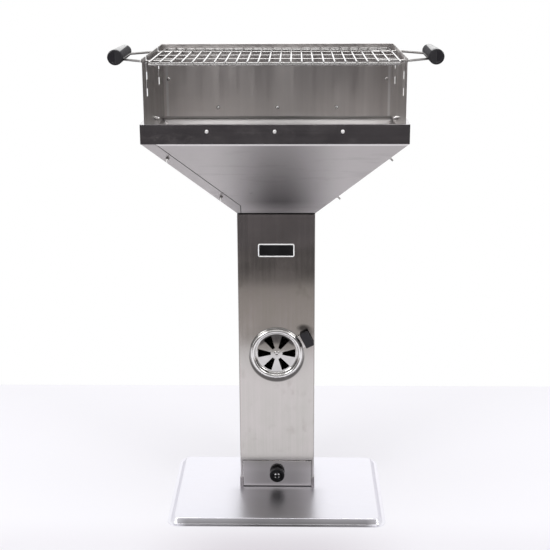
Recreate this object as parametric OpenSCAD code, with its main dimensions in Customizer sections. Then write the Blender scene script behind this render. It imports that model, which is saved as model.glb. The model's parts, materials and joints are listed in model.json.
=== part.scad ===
// Pedestal charcoal grill in folded stainless sheet.
// +X is to the cook's right, the front faces -Y, +Z is up, and the floor is at z = 0.
// The origin lies under the centre of the whole grill's box.

/* [Base plate] */
// Width of the pressed base plate
base_w = 475; // [420:1:560]
// Depth of the base plate, front to back
base_d = 313; // [300:1:380]
// Height of the raised plateau above the floor
base_h = 12; // [11:0.5:20]
// Sheet of the base plate
base_t = 1; // [0.8:0.1:2]
// Flat lip round the plate, which stands on the floor
base_lip = 7; // [5:0.5:12]
// Run of the slope between the lip and the plateau
base_slope = 8; // [5:0.5:12]
// Radius of the plate's corners
base_corner_r = 24; // [20:1:40]
// How far the plate's centre stands in front of the column's centre
base_forward = 58; // [30:1:75]

/* [Column] */
// Width of the column
column_w = 168; // [160:1:200]
// Depth of the column
column_d = 120; // [116:1:140]
// Height of the column above the plateau
column_h = 645; // [520:1:760]
// Folded stainless sheet of the column, funnel, rim and walls
sheet_t = 0.8; // [0.6:0.1:1.2]
// Width of the flanges that fold in at the column's foot
foot_flange_w = 15; // [14:0.5:17]
// Width of the flanges that fold in at the column's back
back_flange_w = 14; // [12:0.5:20]
// Height of the clips on the column's bottom corners
clip_h = 23; // [15:1:30]
// Reach of a clip along the column's side
clip_reach = 16; // [12:1:24]

/* [Name plate] */
// Width of the blank name plate
plate_w = 79; // [60:1:100]
// Height of the blank name plate
plate_h = 29.5; // [20:0.5:36]
// Width of the bright border round the plate's field
plate_border = 2.6; // [2:0.1:4]
// Thickness of the name plate
plate_t = 1.2; // [1:0.1:2]
// Drop of the plate's centre below the column's top
plate_drop = 80; // [60:1:110]

/* [Air vent] */
// Height of the vent's centre above the plateau
vent_rise = 328; // [220:1:380]
// Outer radius of the vent's turning cap
vent_r = 60; // [54:0.5:64]
// Radius of the cap's flat disc
vent_disc_r = 48; // [46:0.5:50]
// Radius of the round bead that edges the cap
vent_bead_r = 4.5; // [3.5:0.1:5.5]
// Inner radius of the air windows
window_in_r = 13; // [10:0.5:16]
// Outer radius of the air windows
window_out_r = 42; // [36:0.5:44]
// Angle that each window spans
window_angle = 27.5; // [20:0.5:29]
// Radius of the rivet that the cap turns on
vent_pin_r = 3; // [2:0.1:4]
// Angle of the tab above the horizontal
tab_angle = 27; // [20:0.5:60]
// Length of the tab across the arm
tab_w = 33; // [24:1:40]
// Reach of the tab outward
tab_reach = 19.5; // [16:0.5:22]
// Thickness of the tab
tab_t = 11; // [9:0.5:14]
// Gap between the cap's edge and the tab
tab_gap = 5.5; // [4:0.5:9]

/* [Ash drawer] */
// Height of the drawer's front
drawer_h = 64; // [62:1:80]
// Gap round the drawer's front
drawer_gap = 1; // [0.6:0.1:1.5]
// Strip of the column's front left beside the drawer
drawer_strip = 5.5; // [4:0.5:8]
// Length of the drawer's tray
tray_l = 108; // [80:1:110]
// Height of the tray's sides
tray_h = 42; // [24:1:46]
// Gap between the tray's side and the column's side sheet
tray_side_gap = 11; // [9:0.5:14]
// Ledge of each runner that carries the tray, beyond the tray's side
runner_reach = 6; // [4:0.5:10]
// Height of the runner's upright leg
runner_h = 18; // [12:1:24]
// Radius of the knob's face
knob_r = 17; // [12:0.5:20]
// Length of the knob
knob_l = 15; // [12:0.5:20]
// Height of the knob's axis above the drawer front's lower edge
knob_rise = 33; // [28:0.5:44]

/* [Funnel] */
// Height of the funnel's sloping sides
funnel_h = 170; // [130:1:220]
// Gap between the column's top and the funnel's lower bend
neck_gap = 3; // [1:0.5:6]
// Depth of the lip that the funnel lowers into the column
neck_lip = 20; // [16:1:30]
// Width of the flanges that lap the neighbouring panel
seam_w = 27; // [24:1:34]
// Shank radius of the bolts in the funnel's seams
seam_bolt_r = 2; // [1.5:0.1:2.5]
// Length of a seam bolt under its head
seam_bolt_l = 12; // [9:0.5:16]

/* [Rim] */
// Outer width of the rim that binds the firebox
rim_w = 540; // [500:1:620]
// Outer depth of the rim
rim_d = 340; // [320:1:380]
// Height of the rim's outer face
rim_h = 40; // [36:1:50]
// Sheet of the rim
rim_t = 1; // [0.8:0.1:1.5]
// Width of the rim's channel, from its outer face to the walls
rim_channel = 8; // [7:0.5:12]
// Height of the channel's inner leg
rim_inner_h = 30; // [24:1:34]
// Drop of the rim's bolts below the rim's top
rim_bolt_drop = 14; // [12:0.5:18]
// Distance between neighbouring bolts along the front and the back
rim_bolt_pitch = 136; // [100:1:160]
// Shank radius of the rim's bolts
rim_bolt_r = 2.5; // [2:0.1:3]

/* [Fire walls] */
// Height of the walls above the rim
wall_h = 130; // [112:1:170]
// How far the walls reach below the rim's top
wall_drop = 35; // [24:1:38]
// Width of the flange that folds round the walls' back corners
corner_flange = 24; // [20:1:34]
// Height of the hem along the walls' tops
hem_h = 8; // [5:0.5:12]
// Height of the corner screws above the rim
corner_screw_rise = 50; // [30:1:70]
// Width of the slots that take the grate's handle wires
slot_w = 8; // [7:0.5:12]
// Length of each ledge beside a slot
ledge_l = 12; // [8:0.5:16]
// Clear height over each ledge
ledge_clear = 16; // [10:0.5:20]
// Height step from ledge to ledge
ledge_pitch = 34; // [28:1:34]

/* [Cooking grate] */
// Gap between the grate's cross wires and each side wall
grate_side_gap = 10.2; // [6:0.1:24]
// Gap between the grate's bars and the back wall
grate_back_gap = 9.7; // [6:0.1:20]
// Number of bars
bar_count = 24; // [12:1:30]
// Diameter of the grate's bars and cross wires
bar_dia = 3; // [2.5:0.1:3.5]
// Number of cross wires
cross_count = 5; // [3:1:6]
// Diameter of the lower wires along the front and the back
edge_dia = 4; // [3:0.1:4.5]
// Drop of the grate's resting height below the walls' top
grate_drop = 11.5; // [10:0.5:14]
// Diameter of the handle wires
handle_dia = 5; // [4:0.1:5.5]
// Distance between the two legs of a handle
handle_span = 192; // [170:1:210]
// Distance between the legs where they enter the grip
grip_span = 110; // [80:1:114]
// Distance of the grips' axes from the rim's sides
grip_out = 61; // [46:1:90]
// Height of the grips' axes above the handle wires
grip_rise = 4.8; // [3:0.1:6]
// Length of a grip
grip_l = 140; // [134:1:160]
// Radius of the handle wires' bends
handle_bend_r = 9; // [6:0.5:12]
// Radius of a grip at its front end
grip_front_r = 16.3; // [14:0.1:19]
// Radius of a grip at its back end
grip_back_r = 13.8; // [12:0.1:16]

/* [Charcoal grate] */
// Depth of the charcoal grate below the upper seam bolts
coal_drop = 15; // [14:0.5:30]
// Diameter of the charcoal grate's cross wires
coal_frame_dia = 6; // [5:0.1:7]
// Number of its cross wires
coal_cross_count = 4; // [3:1:6]
// Diameter of the charcoal grate's bars
coal_bar_dia = 4; // [3:0.1:5]
// Number of charcoal bars
coal_bar_count = 17; // [11:1:23]

/* [Hidden] */
$fn = 48;

// Overrun of every cut past the face it opens
cut = 2;
// Clear gap between bodies that only lie near each other
clear = 0.3;
// Radial gap of the vent's cap on its rivet
running = 0.05;
// Depth to which crossing grate wires are welded into each other
weld = 0.4;
// Sides of a bent wire, and steps round each of its bends
wire_sides = 12;
wire_steps = 5;
// Gap of a bolt in its hole
hole_gap = 0.25;
// A length that reaches past the whole grill
far = rim_w + rim_d + column_h;

// Sizes of the fasteners
rim_head_r = 4.5;
rim_head_h = 2.6;
rim_nut_r = 4.6;
rim_nut_h = 4;
rim_bolt_tail = 3;
seam_head_r = 3.6;
seam_head_h = 2.2;
seam_nut_r = 4;
seam_nut_h = 3;
neck_screw_r = 2;
neck_head_r = 4;
neck_head_h = 2.2;
neck_tail = 5;
base_bolt_r = 3;
base_head_r = 5.5;
base_head_h = 3.6;
base_nut_r = 5.6;
base_nut_h = 4;
base_tail = 1;
rivet_r = 2;
rivet_head_r = 4;
rivet_head_h = 1.2;
wing_hub_r = 4.6;
wing_hub_h = 6;
wing_span = 23;
wing_h = 9;
wing_t = 2;
wing_lift = 4;

// Small sizes of the other pieces
clip_t = 1;
clip_front_w = 7;
plate_corner_r = 4;
plate_inner_r = 1.8;
field_sink = 0.4;
vent_head_r = 6;
vent_head_h = 1.6;
vent_washer_t = 0.4;
arm_w = 29;
arm_t = 1.2;
arm_lift = 3.5;
tab_lift = 2.2;
tab_round = 2;
tab_wall = 5;
runner_lift = 7;
knob_neck_r = 9;
knob_neck_l = 3;
knob_flare_l = 7;
knob_round = 2.4;
knob_dish_r = 9;
knob_dish = 0.8;
knob_screw_r = 2.5;
knob_screw_depth = 9;
knob_head_r = 4.6;
knob_head_h = 2.4;
neck_relief = 1.2;
seam_end = 6;
seam_high_share = 0.81;
seam_low_share = 0.25;
collar_clear = 7;
mitre_gap = 0.1;
handle_root = 46;
handle_bend_x = 12;
grip_round = 2.5;
groove_spare = 6;
wire_inset = 11;
coal_inset = 8;
foot_bolt_y_share = 0.33;
rivet_low_share = 0.09;
rivet_mid_share = 0.5;
rivet_high_share = 0.95;
neck_screw_x_share = 0.3;

// Heights, from the floor up
column_top = base_h + column_h;
funnel_low = column_top + neck_gap;
funnel_top = funnel_low + funnel_h;
rim_top = funnel_top + rim_h;
wall_top = rim_top + wall_h;
collar_top = rim_top - collar_clear;
rim_bolt_z = rim_top - rim_bolt_drop;
corner_screw_z = rim_top + corner_screw_rise;
vent_z = base_h + vent_rise;
drawer_low = base_h + sheet_t + drawer_gap / 2;
drawer_high = drawer_low + drawer_h;

// Depth: the column's centre line is set so that the grill's box is centred on the origin
reach_front = base_forward + base_d / 2;
reach_back = rim_d / 2 + rim_head_h;
axis_y = (reach_front - reach_back) / 2;

// Layers, measured outward from the column's centre line
column_in_w = column_w / 2 - sheet_t;
column_in_d = column_d / 2 - sheet_t;
wall_out_w = rim_w / 2 - rim_channel;
wall_out_d = rim_d / 2 - rim_channel;
wall_t = sheet_t;

// Cooking grate
grate_w = 2 * (wall_out_w - wall_t - grate_side_gap);
grate_d = 2 * (wall_out_d - wall_t - grate_back_gap);
grip_x = rim_w / 2 + grip_out;
handle_z = wall_top - grate_drop;
bar_z = handle_z + (handle_dia + bar_dia) / 2 + clear / 3;
cross_z = bar_z - bar_dia + weld;
edge_z = cross_z - (bar_dia + edge_dia) / 2 + weld;
ledge_z = handle_z - handle_dia / 2 - clear;
slot_low = ledge_z - 2 * ledge_pitch;
slot_front = -handle_span / 2 - ledge_l;
slot_back = handle_span / 2 - ledge_l;
grip_z = handle_z + grip_rise;

// Charcoal grate
coal_z = funnel_low + funnel_h * seam_high_share - coal_drop;

// Half sizes of the funnel's four sides in the order front, right, back, left: the distance of
// the inner face from the centre line at the upper bend and at the lower bend
function upper_out(side) = (side % 2 == 0 ? rim_d : rim_w) / 2 - rim_t - 2 * sheet_t;
function lower_out(side) = (side % 2 == 0 ? column_in_d : column_in_w) - sheet_t;
function slope(side) = atan((upper_out(side) - lower_out(side)) / funnel_h);
function slope_out(side, z) = lower_out(side)
    + (upper_out(side) - lower_out(side)) * (z - funnel_low) / funnel_h;
// The folded line of one side, as (distance, height) points, moved outward by a layer
function fold(side, layer) = let (bend = layer * tan(slope(side) / 2)) [
    [upper_out(side) + layer, collar_top],
    [upper_out(side) + layer, funnel_top - bend],
    [lower_out(side) + layer, funnel_low - bend],
    [lower_out(side) + layer, funnel_low - neck_lip]];
function turned(points) = [for (i = [len(points) - 1:-1:0]) points[i]];
function arc(x, y, r, from, to, steps) =
    [for (i = [0:steps]) let (a = from + (to - from) * i / steps) [x + r * cos(a), y + r * sin(a)]];
function spread(count, width) = [for (i = [0:count - 1]) -width / 2 + width * i / (count - 1)];

// Puts what stands on the column's centre line in its place
module on_axis() {
    translate([0, axis_y, 0]) children();
}

// Turns what is drawn at the front to the given side
module at_side(side) {
    rotate([0, 0, 90 * side]) children();
}

// Runs an outline of (distance, height) points along one side
module side_run(side, length) {
    at_side(side) rotate([90, 0, -90]) linear_extrude(length, center = true) children();
}

// A rod between two points
module rod(from, to, r) {
    run = to - from;
    flat = norm([run.x, run.y]);
    translate(from) rotate([0, atan2(flat, run.z), atan2(run.y, run.x)])
        cylinder(h = norm(run), r = r);
}

// Stations [x, y, heading] round one bend of a flat wire, whose heading turns left
function bend(x, y, from, to) = let (
        run = handle_bend_r * tan((to - from) / 2),
        middle = [x - run * cos(from) - handle_bend_r * sin(from),
            y - run * sin(from) + handle_bend_r * cos(from)])
    [for (i = [0:wire_steps]) let (a = from + (to - from) * i / wire_steps)
        [middle.x + handle_bend_r * sin(a), middle.y - handle_bend_r * cos(a), a]];

// A flat wire through a row of stations
module flat_wire(stations, r) {
    last = len(stations) - 1;
    points = [for (s = stations) for (i = [0:wire_sides - 1]) let (a = 360 * i / wire_sides)
        [s.x - r * cos(a) * sin(s[2]), s.y + r * cos(a) * cos(s[2]), r * sin(a)]];
    faces = [for (j = [0:last - 1]) for (i = [0:wire_sides - 1]) let (
            k = (i + 1) % wire_sides,
            here = j * wire_sides,
            there = here + wire_sides)
        each [[here + i, here + k, there + k], [here + i, there + k, there + i]]];
    polyhedron(points, concat(faces, [[for (i = [wire_sides - 1:-1:0]) i]],
        [[for (i = [0:wire_sides - 1]) last * wire_sides + i]]));
}

module hex_nut(r, h, bore) {
    difference() {
        cylinder(h = h, r = r, $fn = 6);
        translate([0, 0, -cut]) cylinder(h = h + 2 * cut, r = bore);
    }
}

// A round-headed bolt whose head sits above z = 0 and whose shank goes down
module bolt(r, length, head_r, head_h) {
    translate([0, 0, -length]) cylinder(h = length, r = r);
    rotate_extrude() intersection() {
        translate([0, head_h / 2 - head_r]) circle(head_r + head_h / 2);
        square([head_r, head_h]);
    }
}

// Rounded rectangle in the plane
module rounded(w, h, r) {
    for (x = [-1, 1]) for (y = [-1, 1]) translate([x * (w / 2 - r), y * (h / 2 - r)]) circle(r);
    square([w - 2 * r, h], center = true);
    square([w, h - 2 * r], center = true);
}

// Base plate

// Edge of the pressed sheet: distance inward from the plate's corner centre and height
function base_edge() = let (
        lip_r = base_corner_r - base_lip,
        top_r = lip_r - base_slope,
        bend = base_t * tan(atan2(base_h - base_t, base_slope) / 2))
    [[0, base_h], [top_r, base_h], [lip_r, base_t], [base_corner_r, base_t], [base_corner_r, 0],
     [lip_r - bend, 0], [top_r - bend, base_h - base_t], [0, base_h - base_t]];

module base_edge_run(length) {
    rotate([90, 0, -90]) linear_extrude(length, center = true) polygon(base_edge());
}

module base_plate_sheet() {
    x = base_w / 2 - base_corner_r;
    y = base_d / 2 - base_corner_r;
    for (side = [0:3]) {
        rotate([0, 0, 90 * side]) translate([0, side % 2 == 0 ? -y : -x, 0])
            base_edge_run(side % 2 == 0 ? 2 * x : 2 * y);
        translate([side < 2 ? x : -x, side == 1 || side == 2 ? y : -y, 0])
            rotate([0, 0, 90 * side - 90]) rotate_extrude(angle = 90) polygon(base_edge());
    }
    translate([-x, -y, base_h - base_t]) cube([2 * x, 2 * y, base_t]);
}

// Places of the bolts that hold the column to the base
module at_foot_bolts() {
    for (x = [-1, 1]) for (y = [-1, 1])
        translate([x * (column_in_w - foot_flange_w / 2), y * column_d * foot_bolt_y_share, 0])
            children();
}

module base_plate() color([0.86, 0.87, 0.89]) on_axis() difference() {
    translate([0, -base_forward, 0]) base_plate_sheet();
    at_foot_bolts() cylinder(h = base_h + cut, r = base_bolt_r + hole_gap);
}

module base_bolts() color([0.62, 0.63, 0.65]) on_axis() at_foot_bolts()
    translate([0, 0, base_h - base_t]) mirror([0, 0, 1])
        bolt(base_bolt_r, base_t + sheet_t + base_nut_h + base_tail, base_head_r, base_head_h);

module base_nuts() color([0.62, 0.63, 0.65]) on_axis() at_foot_bolts()
    translate([0, 0, base_h + sheet_t]) hex_nut(base_nut_r, base_nut_h, base_bolt_r);

// Column

module vent_windows(thickness) {
    half_w = window_out_r * tan(window_angle / 2);
    for (i = [0:5]) rotate([0, 0, 60 * i]) linear_extrude(thickness) intersection() {
        difference() {
            circle(window_out_r);
            circle(window_in_r);
        }
        polygon([[0, 0], [window_out_r, -half_w], [window_out_r + window_in_r, 0],
            [window_out_r, half_w]]);
    }
}

// Puts what is drawn facing up on the column's front, at the given height
module on_front(z) {
    translate([0, -column_d / 2, z]) rotate([90, 0, 0]) children();
}

// Places of the screws that hold the funnel's lips: one on each side and two at the back
module at_neck_screws() {
    for (side = [1:3]) at_side(side) for (x = side == 2 ? [-1, 1] : [0:0])
        translate([x * column_w * neck_screw_x_share, -(side == 2 ? column_d : column_w) / 2,
            funnel_low - neck_lip / 2]) rotate([90, 0, 0]) children();
}

module neck_screw_holes() {
    at_neck_screws() translate([0, 0, -2 * sheet_t - cut])
        cylinder(h = 2 * (sheet_t + cut), r = neck_screw_r + hole_gap);
}

module at_rivets() {
    for (x = [-1, 1]) for (share = [rivet_low_share, rivet_mid_share, rivet_high_share])
        translate([x * (column_in_w - back_flange_w / 2), column_d / 2, base_h + column_h * share])
            rotate([-90, 0, 0]) children();
}

module column_shell() color([0.72, 0.71, 0.7]) on_axis() difference() {
    translate([0, 0, base_h]) {
        linear_extrude(column_h) difference() {
            translate([-column_w / 2, -column_d / 2]) square([column_w, column_d - sheet_t]);
            translate([-column_in_w, -column_in_d])
                square([2 * column_in_w, 2 * column_in_d - sheet_t]);
            translate([-column_in_w + back_flange_w, 0])
                square([2 * (column_in_w - back_flange_w), column_d]);
        }
        for (x = [-1, 1]) translate([x * (column_in_w - foot_flange_w / 2), 0, sheet_t / 2])
            cube([foot_flange_w, 2 * (column_in_d - sheet_t) - drawer_gap, sheet_t], center = true);
    }
    // Opening for the ash drawer
    translate([-column_w / 2 + drawer_strip, -column_d / 2 - cut, base_h - cut])
        cube([column_w - 2 * drawer_strip, sheet_t + 2 * cut, drawer_high + drawer_gap - base_h + cut]);
    // Relief of the back flanges round the funnel's neck lip
    translate([-column_in_w, column_in_d - sheet_t - cut, funnel_low - neck_lip - clear])
        cube([2 * column_in_w, sheet_t + 2 * cut, neck_lip]);
    // Air windows and the hole of the cap's rivet
    on_front(vent_z) translate([0, 0, -sheet_t - cut]) {
        vent_windows(sheet_t + 2 * cut);
        cylinder(h = sheet_t + 2 * cut, r = vent_pin_r);
    }
    at_foot_bolts() cylinder(h = base_h + cut, r = base_bolt_r + hole_gap);
    neck_screw_holes();
    at_rivets() translate([0, 0, -2 * sheet_t - cut]) cylinder(h = 2 * sheet_t + cut, r = rivet_r);
}

module column_back() color([0.7, 0.69, 0.68]) on_axis() difference() {
    translate([-column_w / 2, column_d / 2 - sheet_t, base_h]) cube([column_w, sheet_t, column_h]);
    at_rivets() translate([0, 0, -2 * sheet_t]) cylinder(h = 2 * sheet_t + cut, r = rivet_r);
    neck_screw_holes();
}

module column_rivets() color([0.6, 0.6, 0.62]) on_axis() at_rivets() {
    bolt(rivet_r, 2 * sheet_t, rivet_head_r, rivet_head_h);
    translate([0, 0, -2 * sheet_t - rivet_head_h]) cylinder(h = rivet_head_h, r = rivet_head_r);
}

module column_clips() color([0.36, 0.35, 0.36]) on_axis()
    for (x = [0, 1]) for (y = [0, 1]) mirror([x, 0, 0]) mirror([0, y, 0])
        translate([column_w / 2, -column_d / 2, base_h]) {
            translate([0, -clip_t, 0]) cube([clip_t, clip_reach, clip_h]);
            translate([-clip_front_w + clip_t, -clip_t, 0]) cube([clip_front_w, clip_t, clip_h]);
        }

// Name plate, blank

module name_plate_frame() color([0.9, 0.9, 0.9]) on_axis() on_front(column_top - plate_drop)
    linear_extrude(plate_t) difference() {
        rounded(plate_w, plate_h, plate_corner_r);
        rounded(plate_w - 2 * plate_border, plate_h - 2 * plate_border, plate_inner_r);
    }

module name_plate_field() color([0.06, 0.06, 0.07]) on_axis() on_front(column_top - plate_drop)
    linear_extrude(plate_t - field_sink)
        rounded(plate_w - 2 * plate_border, plate_h - 2 * plate_border, plate_inner_r);

// Air vent

// Outline of the spun cap: a flat disc that turns up into a round bead
function cap_outline() = let (
        low = vent_washer_t,
        high = low + sheet_t,
        bead_x = vent_r - vent_bead_r,
        bead_z = low + vent_bead_r)
    concat([[vent_pin_r + running, low], [vent_pin_r + running, high], [vent_disc_r, high]],
        arc(bead_x, bead_z, vent_bead_r, 180, 0, 12),
        [[vent_r, low], [vent_r - sheet_t, low]],
        arc(bead_x, bead_z, vent_bead_r - sheet_t, 0, 180, 12),
        [[vent_disc_r + sheet_t, low]]);

module vent_cap() color([0.82, 0.82, 0.81]) on_axis() on_front(vent_z) difference() {
    rotate_extrude($fn = 96) polygon(cap_outline());
    vent_windows(vent_bead_r);
}

module on_arm() {
    on_axis() on_front(vent_z) rotate([0, 0, tab_angle]) children();
}

// Strip that is fixed to the cap's edge and carries the tab
tab_in = vent_r + tab_gap;
arm_out = tab_in + tab_reach - tab_wall;

module vent_arm() color([0.8, 0.8, 0.8]) on_arm() difference() {
    translate([vent_disc_r, -arm_w / 2, arm_lift]) cube([arm_out - vent_disc_r, arm_w, arm_t]);
    cylinder(h = far, r = vent_r + clear / 3);
}

module vent_tab() color([0.1, 0.1, 0.11]) on_arm() difference() {
    translate([tab_in + tab_reach / 2, 0, tab_lift]) intersection() {
        linear_extrude(tab_t) rounded(tab_reach, tab_w, tab_round);
        translate([0, 0, tab_t / 2]) rotate([90, 0, 0])
            linear_extrude(tab_w, center = true) rounded(tab_reach, tab_t, tab_round);
    }
    translate([vent_disc_r, -arm_w / 2 - clear / 3, arm_lift - clear / 3])
        cube([arm_out - vent_disc_r + clear / 3, arm_w + 2 * clear / 3, arm_t + 2 * clear / 3]);
}

module vent_rivet() color([0.75, 0.75, 0.75]) on_axis() on_front(vent_z) {
    translate([0, 0, -sheet_t - vent_head_h])
        cylinder(h = vent_head_h, r = vent_head_r);
    translate([0, 0, -sheet_t])
        cylinder(h = 2 * sheet_t + 2 * vent_washer_t, r = vent_pin_r);
    cylinder(h = vent_washer_t - running, r = vent_head_r);
    translate([0, 0, sheet_t + vent_washer_t + running])
        bolt(vent_pin_r, running, vent_head_r, vent_head_h);
}

// Ash drawer

runner_z = base_h + runner_lift;
tray_z = runner_z + sheet_t + clear;
tray_half_w = column_in_w - tray_side_gap;
drawer_half_w = column_w / 2 - drawer_strip - drawer_gap;
knob_z = drawer_low + knob_rise;

module drawer_tray() color([0.74, 0.73, 0.72]) on_axis() difference() {
    union() {
        translate([-drawer_half_w, -column_d / 2, drawer_low])
            cube([2 * drawer_half_w, sheet_t, drawer_h]);
        difference() {
            translate([-tray_half_w, -column_d / 2, tray_z]) cube([2 * tray_half_w, tray_l, tray_h]);
            translate([-tray_half_w + sheet_t, -column_d / 2 + sheet_t, tray_z + sheet_t])
                cube([2 * (tray_half_w - sheet_t), tray_l - 2 * sheet_t, tray_h]);
        }
    }
    on_front(knob_z) translate([0, 0, -sheet_t - cut])
        cylinder(h = sheet_t + 2 * cut, r = knob_screw_r + hole_gap);
}

module drawer_knob() color([0.07, 0.07, 0.08]) on_axis() on_front(knob_z) difference() {
    rotate_extrude($fn = 72) polygon(concat(
        [[0, 0], [knob_neck_r, 0], [knob_neck_r, knob_neck_l], [knob_r, knob_flare_l]],
        arc(knob_r - knob_round, knob_l - knob_round, knob_round, 0, 90, 8),
        [[knob_dish_r, knob_l], [0, knob_l - knob_dish]]));
    translate([0, 0, -cut]) cylinder(h = knob_screw_depth + cut, r = knob_screw_r);
}

module drawer_knob_screw() color([0.65, 0.65, 0.67]) on_axis() on_front(knob_z)
    translate([0, 0, -sheet_t]) mirror([0, 0, 1])
        bolt(knob_screw_r, knob_screw_depth, knob_head_r, knob_head_h);

// Angle rails on the column's side sheets, which carry the tray
module runner(x) color([0.66, 0.66, 0.66]) on_axis()
    mirror([x < 0 ? 1 : 0, 0, 0]) translate([0, -column_in_d + sheet_t, runner_z]) {
        translate([tray_half_w - runner_reach, 0, 0])
            cube([tray_side_gap + runner_reach, 2 * (column_in_d - sheet_t) - sheet_t, sheet_t]);
        translate([column_in_w - sheet_t, 0, 0])
            cube([sheet_t, 2 * (column_in_d - sheet_t) - sheet_t, runner_h]);
    }

module runner_left() runner(-1);

module runner_right() runner(1);

// Funnel

// One bent layer of a side's sheet, between two distances from its inner face
module layer(side, from, to, low) {
    side_run(side, far) intersection() {
        polygon(concat(fold(side, from), turned(fold(side, to))));
        translate([0, low]) square(far);
    }
}

// Everything that lies inside a side's face
module within(side, from) {
    side_run(side, far) polygon(concat([[-far, collar_top]], fold(side, from),
        [[-far, funnel_low - neck_lip]]));
}

// The part of a side that the neighbour's lapping flange covers
module lap(side) {
    before = (side + 3) % 4;
    top_x = -upper_out(before) + seam_w;
    end_x = -lower_out(before) + seam_end;
    end_z = funnel_low + (seam_w - seam_end) * funnel_h / (upper_out(before) - lower_out(before));
    at_side(side) rotate([90, 0, 0]) linear_extrude(far)
        polygon([[-far, collar_top], [top_x, collar_top], [top_x, funnel_top], [end_x, end_z],
            [end_x, funnel_low], [-far, funnel_low]]);
}

// Places of the bolts in the flange that laps over a side, square to its sheet
module at_seam_bolts(side) {
    before = (side + 3) % 4;
    at_side(side) for (share = [seam_low_share, seam_high_share]) {
        z = funnel_low + funnel_h * share;
        translate([-slope_out(before, z) + seam_w / 2, -slope_out(side, z), z])
            rotate([90 + slope(side), 0, 0]) children();
    }
}

module seam_holes(side) {
    at_seam_bolts(side) translate([0, 0, -cut])
        cylinder(h = 2 * (sheet_t + cut), r = seam_bolt_r + hole_gap);
}

// A side of the funnel: its collar, slope and neck lip, and the flange that laps the next side
module funnel_side(side) {
    next = (side + 1) % 4;
    before = (side + 3) % 4;
    color([0.76, 0.75, 0.74]) on_axis() difference() {
        union() {
            intersection() {
                layer(side, 0, sheet_t, funnel_low - sheet_t);
                within(next, 2 * sheet_t);
                within(before, -clear / 3);
            }
            intersection() {
                layer(next, sheet_t, 2 * sheet_t, funnel_low);
                within(side, sheet_t);
                lap(next);
            }
            at_side(side) translate([-lower_out(next) + neck_relief, -lower_out(side) - sheet_t,
                funnel_low - neck_lip])
                cube([2 * (lower_out(next) - neck_relief), sheet_t, neck_lip]);
        }
        seam_holes(side);
        seam_holes(next);
        rim_bolt_holes();
        neck_screw_holes();
    }
}

module funnel_front() funnel_side(0);

module funnel_right() funnel_side(1);

module funnel_back() funnel_side(2);

module funnel_left() funnel_side(3);

module seam_bolts() color([0.68, 0.68, 0.7]) on_axis() for (side = [0:3]) at_seam_bolts(side)
    mirror([0, 0, 1]) bolt(seam_bolt_r, seam_bolt_l, seam_head_r, seam_head_h);

module seam_nuts() color([0.68, 0.68, 0.7]) on_axis() for (side = [0:3]) at_seam_bolts(side)
    translate([0, 0, 2 * sheet_t]) hex_nut(seam_nut_r, seam_nut_h, seam_bolt_r);

module neck_screws() color([0.65, 0.65, 0.67]) on_axis() at_neck_screws()
    bolt(neck_screw_r, 2 * sheet_t + neck_tail, neck_head_r, neck_head_h);

module neck_nuts() color([0.65, 0.65, 0.67]) on_axis() at_neck_screws()
    translate([0, 0, -2 * sheet_t - seam_nut_h]) hex_nut(seam_nut_r, seam_nut_h, neck_screw_r);

// Rim

// Places of the rim's bolts on one side, pointing outward
module at_rim_bolts(side) {
    steps = side % 2 == 0 ? [-1:1] : [0:0];
    at_side(side) for (i = steps)
        translate([i * rim_bolt_pitch, -(side % 2 == 0 ? rim_d : rim_w) / 2, rim_bolt_z])
            rotate([90, 0, 0]) children();
}

module rim_bolt_holes() {
    for (side = [0:3]) at_rim_bolts(side) translate([0, 0, -2 * rim_channel])
        cylinder(h = 2 * rim_channel + cut, r = rim_bolt_r + hole_gap);
}

// One side of the rim: a channel with a tall outer face, a top and an inner leg
module rim_side(side) {
    out = (side % 2 == 0 ? rim_d : rim_w) / 2;
    half_l = (side % 2 == 0 ? rim_w : rim_d) / 2;
    color([0.34, 0.33, 0.34]) on_axis() difference() {
        intersection() {
            side_run(side, far) difference() {
                translate([out - rim_channel, rim_top - rim_h]) square([rim_channel, rim_h]);
                translate([out - rim_channel + sheet_t, rim_top - rim_h - cut])
                    square([rim_channel - sheet_t - rim_t, rim_h - rim_t + cut]);
                translate([out - rim_channel - cut, rim_top - rim_h - cut])
                    square([sheet_t + 2 * cut, rim_h - rim_inner_h + cut]);
            }
            at_side(side) linear_extrude(far) polygon([[-half_l + mitre_gap, -out],
                [half_l - mitre_gap, -out], [half_l - mitre_gap - rim_channel, -out + rim_channel],
                [-half_l + mitre_gap + rim_channel, -out + rim_channel]]);
        }
        rim_bolt_holes();
    }
}

module rim_front() rim_side(0);

module rim_right() rim_side(1);

module rim_back() rim_side(2);

module rim_left() rim_side(3);

// Layers between the rim's outer face and the nut: the front has no wall
function rim_grip(side) = rim_channel + (side == 0 ? 0 : side == 2 ? 2 : 1) * wall_t;

module rim_bolts() color([0.86, 0.86, 0.87]) on_axis() for (side = [0:3]) at_rim_bolts(side)
    bolt(rim_bolt_r, rim_grip(side) + (side % 2 == 0 ? rim_nut_h : wing_hub_h) + rim_bolt_tail,
        rim_head_r, rim_head_h);

module rim_nuts() color([0.7, 0.7, 0.71]) on_axis() for (side = [0, 2]) at_rim_bolts(side)
    translate([0, 0, -rim_grip(side) - rim_nut_h]) hex_nut(rim_nut_r, rim_nut_h, rim_bolt_r);

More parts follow.
